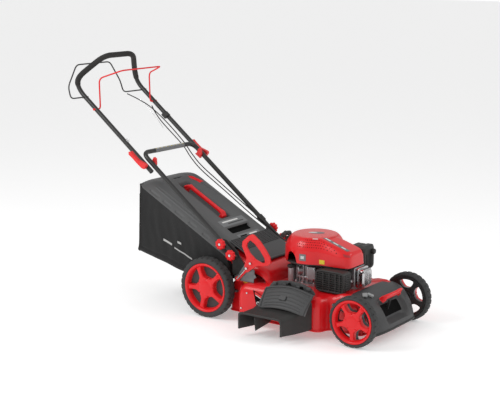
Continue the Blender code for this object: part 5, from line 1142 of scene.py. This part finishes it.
springPath = np.array([0.148, -0.2150, 0.1940]) + springAxis * (turns / turns[-1])[:,
                                                            None] + 0.0046 * (np.cos(turns)[:,
                                                            None] * springAcross + np.sin(turns)[:,
                                                            None] * np.array([0.0, 1.0, 0.0]))
rodAndSpring = [pinShape((0.192, -0.2150, 0.243), (0.148, -0.2150, 0.194), 0.0026, 16, 0.0004),
                tubeShape(springPath, 0.0009, 8)]
piece("height_rod_spring", *merged(*rodAndSpring), brightSteel, "height_lever", "bright_steel")
print("deck made")


bag = {"slope": math.radians(28.6), "rear": (-0.446, 0.565), "length": 0.588, "half": 0.198, "rise": 0.053,
       "flat": 0.125, "front": 0.080}


# a thin closed sheet between two grids of the same size: both faces, both long edges and both ends
def closedSheet(top, under):
    n, m = top.shape[:2]
    both = np.concatenate([top, under[:, ::-1]], axis=1)
    faces = gridFaces(n, 2 * m, closeColumns=True)
    step = np.arange(m - 1)
    end = np.column_stack([step, step + 1, 2 * m - 2 - step, 2 * m - 1 - step])
    faces.extend(end[:, ::-1].tolist())
    faces.extend((end + (n - 1) * 2 * m).tolist())
    return both.reshape(-1, 3), faces


# a place on the lid: u forward along its slope, v to the left, w up from its edge
def lidPlace(u, v, w):
    u, v, w = np.broadcast_arrays(np.asarray(u, float), v, w)
    return np.stack([bag["rear"][0] + u * math.cos(bag["slope"]) + w * math.sin(bag["slope"]), v,
                     bag["rear"][1] - u * math.sin(bag["slope"]) + w * math.cos(bag["slope"])], -1)


def smoothStep(value, low, high):
    t = np.clip((value - low) / (high - low), 0, 1)
    return t * t * (3 - 2 * t)


# how far a place lies from a straight mark, measured across and past its ends
def markDistance(u, v, first, second):
    along = np.array(second) - first
    t = np.clip(((u - first[0]) * along[0] + (v - first[1]) * along[1]) / (along @ along), 0, 1)
    return np.hypot(u - first[0] - t * along[0], v - first[1] - t * along[1])


def lidHalf(u):
    return bag["half"] + 0.002 - 0.045 * (1 - np.sqrt(np.clip(1 - (1 - np.clip(u / 0.045, 0, 1)) ** 2, 0, 1)))


# lid height: a flat top, shoulders that fall as a quarter wave, then the marks pressed into it
def lidHeight(u, v):
    half = lidHalf(u)
    side = np.clip((half - np.abs(v)) / (half - bag["flat"] * np.clip(half / 0.2, 0, 1)), 0, 1)
    lift = (bag["rise"] - 0.006) * np.sin(side * math.pi / 2) * (0.15 + 0.85 * np.sin(np.clip(u / 0.085, 0,
                                                            1) * math.pi / 2))
    height = 0.006 + lift
    recess = smoothStep(u, 0.100, 0.124) * (1 - smoothStep(u, 0.384, 0.408)) * (1 - smoothStep(np.abs(v), 0.030, 0.047))
    height = height - 0.030 * recess
    groove = 1 - smoothStep(markDistance(u, v, (0.020, -0.074), (0.330, -0.146)), 0.0030, 0.0075)
    height = height - 0.006 * groove * np.clip(1.4 - u / 0.45, 0, 1)
    twin = 1 - smoothStep(markDistance(u, v, (0.020, 0.074), (0.330, 0.146)), 0.0030, 0.0075)
    height = height - 0.006 * twin * np.clip(1.4 - u / 0.45, 0, 1)
    height = height - 0.004 * (1 - smoothStep(markDistance(u, v, (0.066, -0.028), (0.066, 0.029)), 0.003, 0.006))
    grip = smoothStep(u, 0.468, 0.478) * (1 - smoothStep(u, 0.505, 0.515)) * (1 - smoothStep(np.abs(v - 0.004),
                                                            0.078, 0.090))
    height = height - 0.015 * grip
    for first, second in ((0.075, 0.126), (0.164, 0.206), (0.248, 0.294), (0.340, 0.375), (0.430, 0.463)):
        slot = 1 - smoothStep(markDistance(u, np.abs(v), (first, 0.1905), (second, 0.1905)), 0.0025, 0.0050)
        height = height - 0.0045 * slot
    for across in (0.158, 0.170):
        ridge = 1 - smoothStep(np.abs(np.abs(v) - across), 0.0012, 0.0030)
        height = height + 0.0018 * ridge * smoothStep(u, 0.06, 0.10)
    return np.maximum(height, 0.0035)


lidU = np.concatenate([0.045 * (1 - np.cos(np.linspace(0, math.pi / 2, 24)))[:-1], np.linspace(0.045, 0.588, 300)])
lidV = np.sin(np.linspace(-math.pi / 2, math.pi / 2, 241)) * 0.6 + np.linspace(-1, 1, 241) * 0.4
gridU, gridV = np.meshgrid(lidU, lidV, indexing="ij")
gridV = gridV * lidHalf(gridU)
lidTop = lidPlace(gridU, gridV, lidHeight(gridU, gridV))
lidUnder = lidPlace(gridU, gridV, np.maximum(lidHeight(gridU, gridV) - 0.0032, 0.0002))
lidShape = closedSheet(lidTop, lidUnder)
lidGrey = finish("lidGrey", (0.078, 0.080, 0.082), 0.52, coat=0.0, dust=0.10, grain=420.0, depth=0.25,
                 dustColour=(0.30, 0.29, 0.27))
piece("bag_lid_look", *lidShape, lidGrey, "chassis", "grey_plastic", replaced=["bag_lid"], sharp=50)


# thin patch that follows the lid
def lidPatch(name, corners, look, lift=0.0006, steps=14, slotName="grey_plastic"):
    s, t = np.meshgrid(np.linspace(0, 1, steps * 2), np.linspace(0, 1, steps), indexing="ij")
    a, b, c, d = [np.array(corner) for corner in corners]
    flat = ((1 - s) * (1 - t))[..., None] * a + (s * (1 - t))[..., None] * b + (s * t)[...,
                                                            None] * c + ((1 - s) * t)[..., None] * d
    u, v = flat[..., 0], flat[..., 1]
    top = lidPlace(u, v, lidHeight(u, v) + lift)
    low = lidPlace(u, v, lidHeight(u, v) - 0.0012)
    piece(name, *closedSheet(top, low), look, "chassis", slotName, sharp=60)


# the black patches in the right groove, the slot and the grip recess are painted shade; the other patches are print and
# trim
lidPatch("lid_groove_painted_shade", [(0.018, -0.0715), (0.338, -0.1470), (0.322, -0.1475), (0.018, -0.0765)], blackAndPaintedShade, 0.0005)
lidPatch("lid_slot_painted_shade", [(0.0635, -0.028), (0.0685, -0.028), (0.0685, 0.029), (0.0635, 0.029)], blackAndPaintedShade, 0.0005)
lidPatch("lid_accent", [(0.060, 0.083), (0.092, 0.068), (0.135, 0.100), (0.136, 0.127)], redPlastic, 0.0008)
lidPatch("lid_label", [(0.418, -0.092), (0.462, -0.092), (0.462, 0.100), (0.418, 0.100)], labelGrey, 0.0006)
lidPatch("lid_label_line", [(0.428, -0.070), (0.436, -0.070), (0.436, 0.050), (0.428, 0.050)], labelWhite, 0.0009)
lidPatch("lid_label_mark", [(0.444, -0.040), (0.450, -0.040), (0.450, 0.078), (0.444, 0.078)], blackPlastic, 0.0009)
lidPatch("lid_grip_painted_shade", [(0.472, -0.076), (0.511, -0.076), (0.511, 0.084), (0.472, 0.084)], blackAndPaintedShade, 0.0006)
lidPatch("lid_warning", [(0.530, -0.075), (0.580, -0.075), (0.580, 0.094), (0.530, 0.094)], labelGrey, 0.0006)
lidPatch("lid_warning_dark", [(0.540, -0.060), (0.570, -0.060), (0.570, -0.010), (0.540, -0.010)], blackAndPaintedShade, 0.0009)
lidPatch("lid_warning_flash", [(0.540, 0.010), (0.570, 0.010), (0.570, 0.070), (0.540, 0.070)], labelWhite, 0.0009)

# carrying bar: broad bevelled ends that narrow to the grip
barU = np.concatenate([np.linspace(0.132, 0.168, 9)[:-1], np.linspace(0.168, 0.352, 16)[:-1], np.linspace(0.352, 0.390, 9)])
wide = 0.021 + 0.016 * (smoothStep(-barU, -0.172, -0.136) + smoothStep(barU, 0.348, 0.386))
tall = bag["rise"] + 0.0045 - 0.013 * (smoothStep(-barU, -0.150, -0.132) + smoothStep(barU, 0.372, 0.390))
angle = np.linspace(0, 2 * np.pi, 28, endpoint=False)
ringV = np.sign(np.cos(angle)) * np.abs(np.cos(angle)) ** 0.5
ringW = np.sign(np.sin(angle)) * np.abs(np.sin(angle)) ** 0.5
barPoints = lidPlace(barU[:, None], ringV[None] * wide[:, None] / 2, tall[:, None] + ringW[None] * 0.0075)
barFaces = cappedRings(len(barU), len(angle))
feet = [blockShape(lidPlace(u, 0.0, 0.035), lidPlace(u + 0.01, 0.0, 0.0) - lidPlace(u, 0.0, 0.0), (0, 1, 0), 0.020,
                   0.030, 0.032, 0.004) for u in (0.143, 0.379)]
piece("bag_handle_look", *merged((barPoints.reshape(-1, 3), barFaces), *feet), redPlastic, "chassis", "red_plastic",
      replaced=["bag_handle"], sharp=60)

# cloth of the bag: one strip from the lid's right edge down, across below and up to its left edge, with a panel sewn in behind
cloth = {"thick": 0.0022, "folds": 0.0042, "sag": 0.0060, "corner": 0.022, "rows": 210, "columns": 231}
underside = smoothPath([(-0.458, 0, 0.2450), (-0.380, 0, 0.2180), (-0.300, 0, 0.1985), (-0.185, 0, 0.1700),
                        (-0.06, 0, 0.1690), (0.080, 0, 0.1715)], 140)[:, [0, 2]]
backEdge = smoothPath([(-0.4360, 0, 0.5560), (-0.4380, 0, 0.480), (-0.4405, 0, 0.400), (-0.4435, 0, 0.300),
                       (-0.4475, 0, 0.2620), (-0.4560, 0, 0.2450)], 60)[:, [0, 2]]
stations = np.linspace(0, 1, cloth["rows"])[:, None]
roundShare = np.linspace(0, 1, cloth["columns"])[None]
straight = -0.4360 + (bag["front"] + 0.4360) * stations
high = np.minimum(bag["rear"][1] - (straight - bag["rear"][0]) * math.tan(bag["slope"]) - 0.0012, 0.5560)
low = np.interp(straight, underside[:, 0], underside[:, 1])
sideY = bag["half"] - 0.0030
down, across, quarter = high - low - cloth["corner"], 2 * (sideY - cloth["corner"]), cloth["corner"] * math.pi / 2
whole = 2 * down + 2 * quarter + across
s = roundShare * whole
firstTurn = np.clip((s - down) / cloth["corner"], 0, math.pi / 2)
lastTurn = np.clip((s - down - quarter - across) / cloth["corner"], 0, math.pi / 2)
flatRun = np.clip(s - down - quarter, 0, across)
sectionY = -sideY + cloth["corner"] * (1 - np.cos(firstTurn)) + flatRun + cloth["corner"] * np.sin(lastTurn)
sectionZ = high - np.clip(s, 0, down) - cloth["corner"] * np.sin(firstTurn) + cloth["corner"] * (1 - np.cos(lastTurn)) \
    + np.clip(s - down - 2 * quarter - across, 0, None)
lean = np.interp(sectionZ[0], backEdge[::-1, 1], backEdge[::-1, 0]) + 0.4360
sectionX = straight + lean[None] * (1 - smoothStep(stations, 0.0, 0.14))
lowest = np.interp(sectionX, underside[:, 0], underside[:, 1])
share = np.clip((sectionZ - lowest) / np.maximum(high - low, 0.01), 0, 1)
onSide = smoothStep(np.abs(sectionY), 0.170, 0.1945)
away = np.sin(np.pi * np.clip((sectionX + 0.46) / 0.52, 0, 1))
# sag: deepest halfway down and halfway along; the folds run down from the lid and fade below
folds = 0.55 * np.sin(sectionX * 61 + 1.2 * np.sin(sectionZ * 13)) + 0.30 * np.sin(sectionX * 127 + 2.0 * np.sin(sectionZ * 19) + 0.9) \
    + 0.25 * np.sin(sectionZ * 47 + sectionX * 16)
inward = np.sin(np.pi * share) ** 0.7 * (cloth["sag"] * away + cloth["folds"] * (0.5 + 0.5 * folds))
seamLine = 0.0034 * np.exp(-((sectionZ - lowest - 0.030 - 0.005 * np.sin(sectionX * 17)) / 0.0048) ** 2)
rim = smoothStep(stations, 0.0, 0.035)
sectionY = sectionY - np.sign(sectionY) * onSide * (inward + seamLine) * rim
sectionZ = sectionZ + (1 - onSide) * (1 - smoothStep(share, 0.02,
                                                     0.10)) * 0.0024 * away * (1 + 0.5 * np.sin(sectionX * 40) * np.sin(sectionY * 22))
bodyCloth = np.stack([np.broadcast_to(sectionX, sectionY.shape), sectionY, sectionZ], -1)
bodyFlat = np.stack([s - whole / 2, np.broadcast_to(straight, s.shape)], -1)

# the panel behind: as wide as the strip's rear edge at each height, pushed out a little by its folds
halfway = cloth["columns"] // 2 + 1
edgeY, edgeZ, edgeX = np.abs(bodyCloth[0, :halfway, 1]), bodyCloth[0, :halfway, 2], bodyCloth[0, :halfway, 0]
panelS, panelT = np.meshgrid(np.linspace(-1, 1, 161), np.linspace(0, 1, 111), indexing="ij")
drop = np.interp(panelT, np.linspace(0, 1, halfway), edgeZ)
puff = 0.0055 * (1 - panelS ** 2) * np.sin(np.pi * panelT) * (1 + 0.35 * np.sin(panelS * 17 + 2 * np.sin(panelT * 5)) + 0.2 * np.sin(panelS * 37))
panelY = panelS * (np.interp(panelT, np.linspace(0, 1, halfway), edgeY) - 0.0006)
backCloth = np.stack([np.interp(panelT, np.linspace(0, 1, halfway), edgeX) - puff, panelY, drop], -1)
backFlat = np.stack([panelY, drop - 1.0], -1)


# a sheet with thickness: the grid, its inner copy along the normals, both joined round every edge
def thickSheet(points, flat, flip):
    normal = np.cross(np.gradient(points, axis=0), np.gradient(points, axis=1))
    normal = flip * normal / np.maximum(np.linalg.norm(normal, axis=2, keepdims=True), 1e-12)
    flats = np.concatenate([flat, flat[:, ::-1]], axis=1)
    sheetPoints, sheetFaces = closedSheet(points, points - normal * cloth["thick"])
    return sheetPoints, sheetFaces, flats.reshape(-1, 2)


bodyPoints, bodyFaces, bodyUv = thickSheet(bodyCloth, bodyFlat, -1.0)
backPoints, backFaces, backUv = thickSheet(backCloth, backFlat, 1.0)
borders = [blockShape((bag["front"] - 0.002, side * 0.1665, 0.238), (0, 1, 0), (0, 0, 1), 0.048, 0.085, 0.0022,
                      0.0004) for side in (-1, 1)]
borders.append(blockShape((bag["front"] - 0.002, 0.0, 0.184), (0, 1, 0), (0, 0, 1), 0.375, 0.022, 0.0022, 0.0004))
borderPoints, borderFaces = merged(*borders)
clothPoints, clothFaces = merged((bodyPoints, bodyFaces), (backPoints, backFaces), (borderPoints, borderFaces))
clothUv = np.concatenate([bodyUv, backUv, borderPoints[:, [1, 2]]])


def makeClothLook():
    made = bpy.data.materials.new("bagCloth")
    made.use_nodes = True
    tree = made.node_tree
    shader = tree.nodes["Principled BSDF"]
    where = addNode(tree, "ShaderNodeTexCoord")
    flatWhere = addNode(tree, "ShaderNodeUVMap", uv_map="flat")
    weave = place(tree, weaveGroup, {"Threads": 1900.0, "Colour": (0.006, 0.006, 0.006, 1),
                                     "Thread Colour": (0.021, 0.021, 0.022, 1)})
    uneven = place(tree, finishGroup, {"Dust": (0.060, 0.058, 0.055, 1), "Dust Amount": 0.10, "Roughness": 0.78,
                                       "Roughness Spread": 0.12,
                                       "Cloud Scale": 7.0, "Grain Scale": 300.0, "Grain Depth": 0.25})
    bump = addNode(tree, "ShaderNodeBump")
    bump.inputs["Distance"].default_value = 0.0005
    bump.inputs["Strength"].default_value = 0.5
    tree.links.new(flatWhere.outputs["UV"], weave.inputs["Vector"])
    tree.links.new(where.outputs["Object"], uneven.inputs["Vector"])
    tree.links.new(weave.outputs["Colour"], uneven.inputs["Colour"])
    tree.links.new(weave.outputs["Height"], bump.inputs["Height"])
    tree.links.new(uneven.outputs["Normal"], bump.inputs["Normal"])
    tree.links.new(uneven.outputs["Colour"], shader.inputs["Base Color"])
    tree.links.new(uneven.outputs["Roughness"], shader.inputs["Roughness"])
    tree.links.new(bump.outputs["Normal"], shader.inputs["Normal"])
    shader.inputs["Sheen Weight"].default_value = 0.10
    shader.inputs["Specular IOR Level"].default_value = 0.30
    return made


clothLook = makeClothLook()
bagCloth = piece("bag_cloth", clothPoints, clothFaces, clothLook, "chassis", "bag_fabric", replaced=["bag_fabric"], sharp=60)
corners = np.empty(len(bagCloth.data.loops), dtype=np.int32)
bagCloth.data.loops.foreach_get("vertex_index", corners)
bagCloth.data.uv_layers.new(name="flat").data.foreach_set("uv", clothUv[corners].astype(np.float32).ravel())
girth, length = float(whole.max()), float(bag["front"] + 0.4360)
tall = length + float(edgeZ[0] - edgeZ[-1])

# bound seams on the cloth, and the woven corner beside the lid
binding = finish("clothBinding", (0.012, 0.012, 0.012), 0.82, dust=0.12, grain=1300.0, depth=0.5)
trims = []
for side in (-1, 1):
    rearLine = bodyCloth[0, :halfway] if side < 0 else bodyCloth[0, ::-1][:halfway]
    trims.append(tubeShape(rearLine[8:-60] + np.array([0.001, side * 0.0005, 0]), 0.0024, 8))
lipLine = bodyCloth[0, halfway - 75:halfway + 73]
trims.append(tubeShape(lipLine + np.array([0.0005, 0, -0.0005]), 0.0032, 8))
piece("bag_binding", *merged(*trims), binding, "chassis", "bag_fabric")


# a generic pale mark that follows the cloth's right side
def sideMark(name, outline, look, lift):
    a, b, c, d = [np.array(corner) for corner in outline]
    p, q = np.meshgrid(np.linspace(0, 1, 60), np.linspace(0, 1, 16), indexing="ij")
    flat = ((1 - p) * (1 - q))[..., None] * a + (p * (1 - q))[..., None] * b + (p * q)[...,
                                                            None] * c + ((1 - p) * q)[..., None] * d
    right = bodyCloth[:, :90]
    rows = np.interp(flat[..., 0], right[:, 40, 0], np.arange(len(right)))
    index = np.clip(np.round(rows).astype(int), 0, len(right) - 1)
    place = np.abs(right[index, :, 2] - flat[..., 1][..., None]).argmin(axis=2)
    y = right[index, place, 1]
    for smoothing in range(3):
        y[1:-1, 1:-1] = (y[:-2, 1:-1] + y[2:, 1:-1] + y[1:-1, :-2] + y[1:-1, 2:] + y[1:-1, 1:-1]) / 5
    top = np.stack([flat[..., 0], y - lift, flat[..., 1]], -1)
    piece(name, *closedSheet(top, top + np.array([0, 0.0012, 0])), look, "chassis", "bag_fabric", sharp=60)


printWhite = finish("printWhite", (0.50, 0.50, 0.49), 0.7, dust=0.25, grain=900.0, depth=0.3, dustColour=(0.05, 0.05, 0.05))
sideMark("bag_mark_bar", [(-0.300, 0.318), (-0.250, 0.300), (-0.250, 0.290), (-0.300, 0.308)], printWhite, 0.0008)
sideMark("bag_mark_line", [(-0.235, 0.2855), (-0.130, 0.2450), (-0.130, 0.2385), (-0.235, 0.2790)], printWhite, 0.0008)
sideMark("bag_mark_dot", [(-0.215, 0.318), (-0.195, 0.311), (-0.195, 0.301), (-0.215, 0.308)], printWhite, 0.0008)
meshBlocks = [blockShape((-0.4375, side * 0.150, 0.5600), (0, 1, 0), (1, 0, 0.2), 0.075, 0.018, 0.016,
                         0.004) for side in (-1, 1)]
piece("bag_corners", *merged(*meshBlocks), blackPlastic, "chassis", "grey_plastic")

# star knobs: a lobed red disc with a domed face and a bright centre
knobPlaces = {"star_knob_right_1": (0.054, -1, 0.343), "star_knob_right_2": (0.110, -1, 0.2985),
              "star_knob_left_1": (0.054, 1, 0.343), "star_knob_left_2": (0.110, 1, 0.2985)}
for name, (x, side, z) in knobPlaces.items():
    start = 0.2034
    turn = np.linspace(0, 2 * np.pi, 144, endpoint=False)
    lobes = 1 + 0.085 * np.cos(9 * turn)
    profile = [(0.0, 0.0), (0.014, 0.0), (0.0215, 0.0015), (0.0240, 0.0050), (0.0240, 0.0135), (0.0225, 0.0175),
               (0.0190, 0.0190), (0.0105, 0.0195), (0.0085, 0.0175), (0.0, 0.0175)]
    rings = []
    for radius, depth in profile[1:-1]:
        amount = np.clip((radius - 0.012) / 0.010, 0, 1)
        r = radius * (1 + (lobes - 1) * amount)
        rings.append(np.column_stack([x + r * np.cos(turn), np.full(144, side * (start + depth)), z + r * np.sin(turn)]))
    points = np.concatenate(rings)
    piece(name + "_look", points, cappedRings(len(rings), 144), redPlastic, name, "red_plastic", replaced=[name], sharp=50)
    centre = pinShape((x, side * (start + 0.0165), z), (x, side * (start + 0.0202), z), 0.0065, 24, 0.001)
    piece(name + "_centre", *centre, brightSteel, name, "bright_steel")
print("bag and knobs made")


stageLook = {"floorSize": 90.0, "floor": (0.93, 0.93, 0.93), "glow": 0.30, "world": 0.60, "key": 60.0, "fill": 24.0}
floorMesh = bpy.data.meshes.new("floor")
half = stageLook["floorSize"] / 2
floorMesh.from_pydata([(-half, -half, -0.0005), (half, -half, -0.0005), (half, half, -0.0005),
                       (-half, half, -0.0005)], [], [(0, 1, 2, 3)])
floorLook = finish("paleFloor", stageLook["floor"], 0.85, dust=0.0, depth=0.0, spread=0.0)
floorShader = floorLook.node_tree.nodes["Principled BSDF"]
floorShader.inputs["Emission Color"].default_value = (1.0, 1.0, 1.0, 1)
floorShader.inputs["Emission Strength"].default_value = stageLook["glow"]
floorMesh.materials.append(floorLook)
floor = bpy.data.objects.new("floor", floorMesh)
bpy.context.scene.collection.objects.link(floor)

world = bpy.data.worlds.new("studio")
bpy.context.scene.world = world
world.use_nodes = True
backdrop = world.node_tree.nodes["Background"]
backdrop.inputs["Color"].default_value = (1.0, 1.0, 1.0, 1)
rays = addNode(world.node_tree, "ShaderNodeLightPath")
seen = maths(world.node_tree, "MULTIPLY", rays.outputs["Is Camera Ray"], 1.05 - stageLook["world"])
world.node_tree.links.new(maths(world.node_tree, "ADD", seen, stageLook["world"]), backdrop.inputs["Strength"])


def softLight(name, spot, target, size, power):
    lamp = bpy.data.lights.new(name, "AREA")
    lamp.size = size
    lamp.energy = power
    item = bpy.data.objects.new(name, lamp)
    item.location = spot
    item.rotation_euler = (Vector(target) - Vector(spot)).to_track_quat("-Z", "Y").to_euler()
    bpy.context.scene.collection.objects.link(item)


softLight("keyLight", (-1.6, -2.6, 3.0), (0.0, 0.0, 0.4), 1.8, stageLook["key"])
softLight("fillLight", (3.2, 1.2, 2.4), (0.2, 0.0, 0.3), 1.6, stageLook["fill"])

view = {"spot": (3.2074, -4.4457, 1.5951), "turn": 35.227, "down": 11.221, "lens": 85.71}
lens = bpy.data.cameras.new("camera")
lens.lens = view["lens"]
lens.sensor_width = 36.0
camera = bpy.data.objects.new("camera", lens)
camera.location = Vector(view["spot"]) + Vector(shift)
camera.rotation_euler = (math.radians(90.0 - view["down"]), 0.0, math.radians(view["turn"]))
bpy.context.scene.collection.objects.link(camera)
bpy.context.scene.camera = camera
bpy.context.scene.view_settings.view_transform = "Standard"
print("stage set")
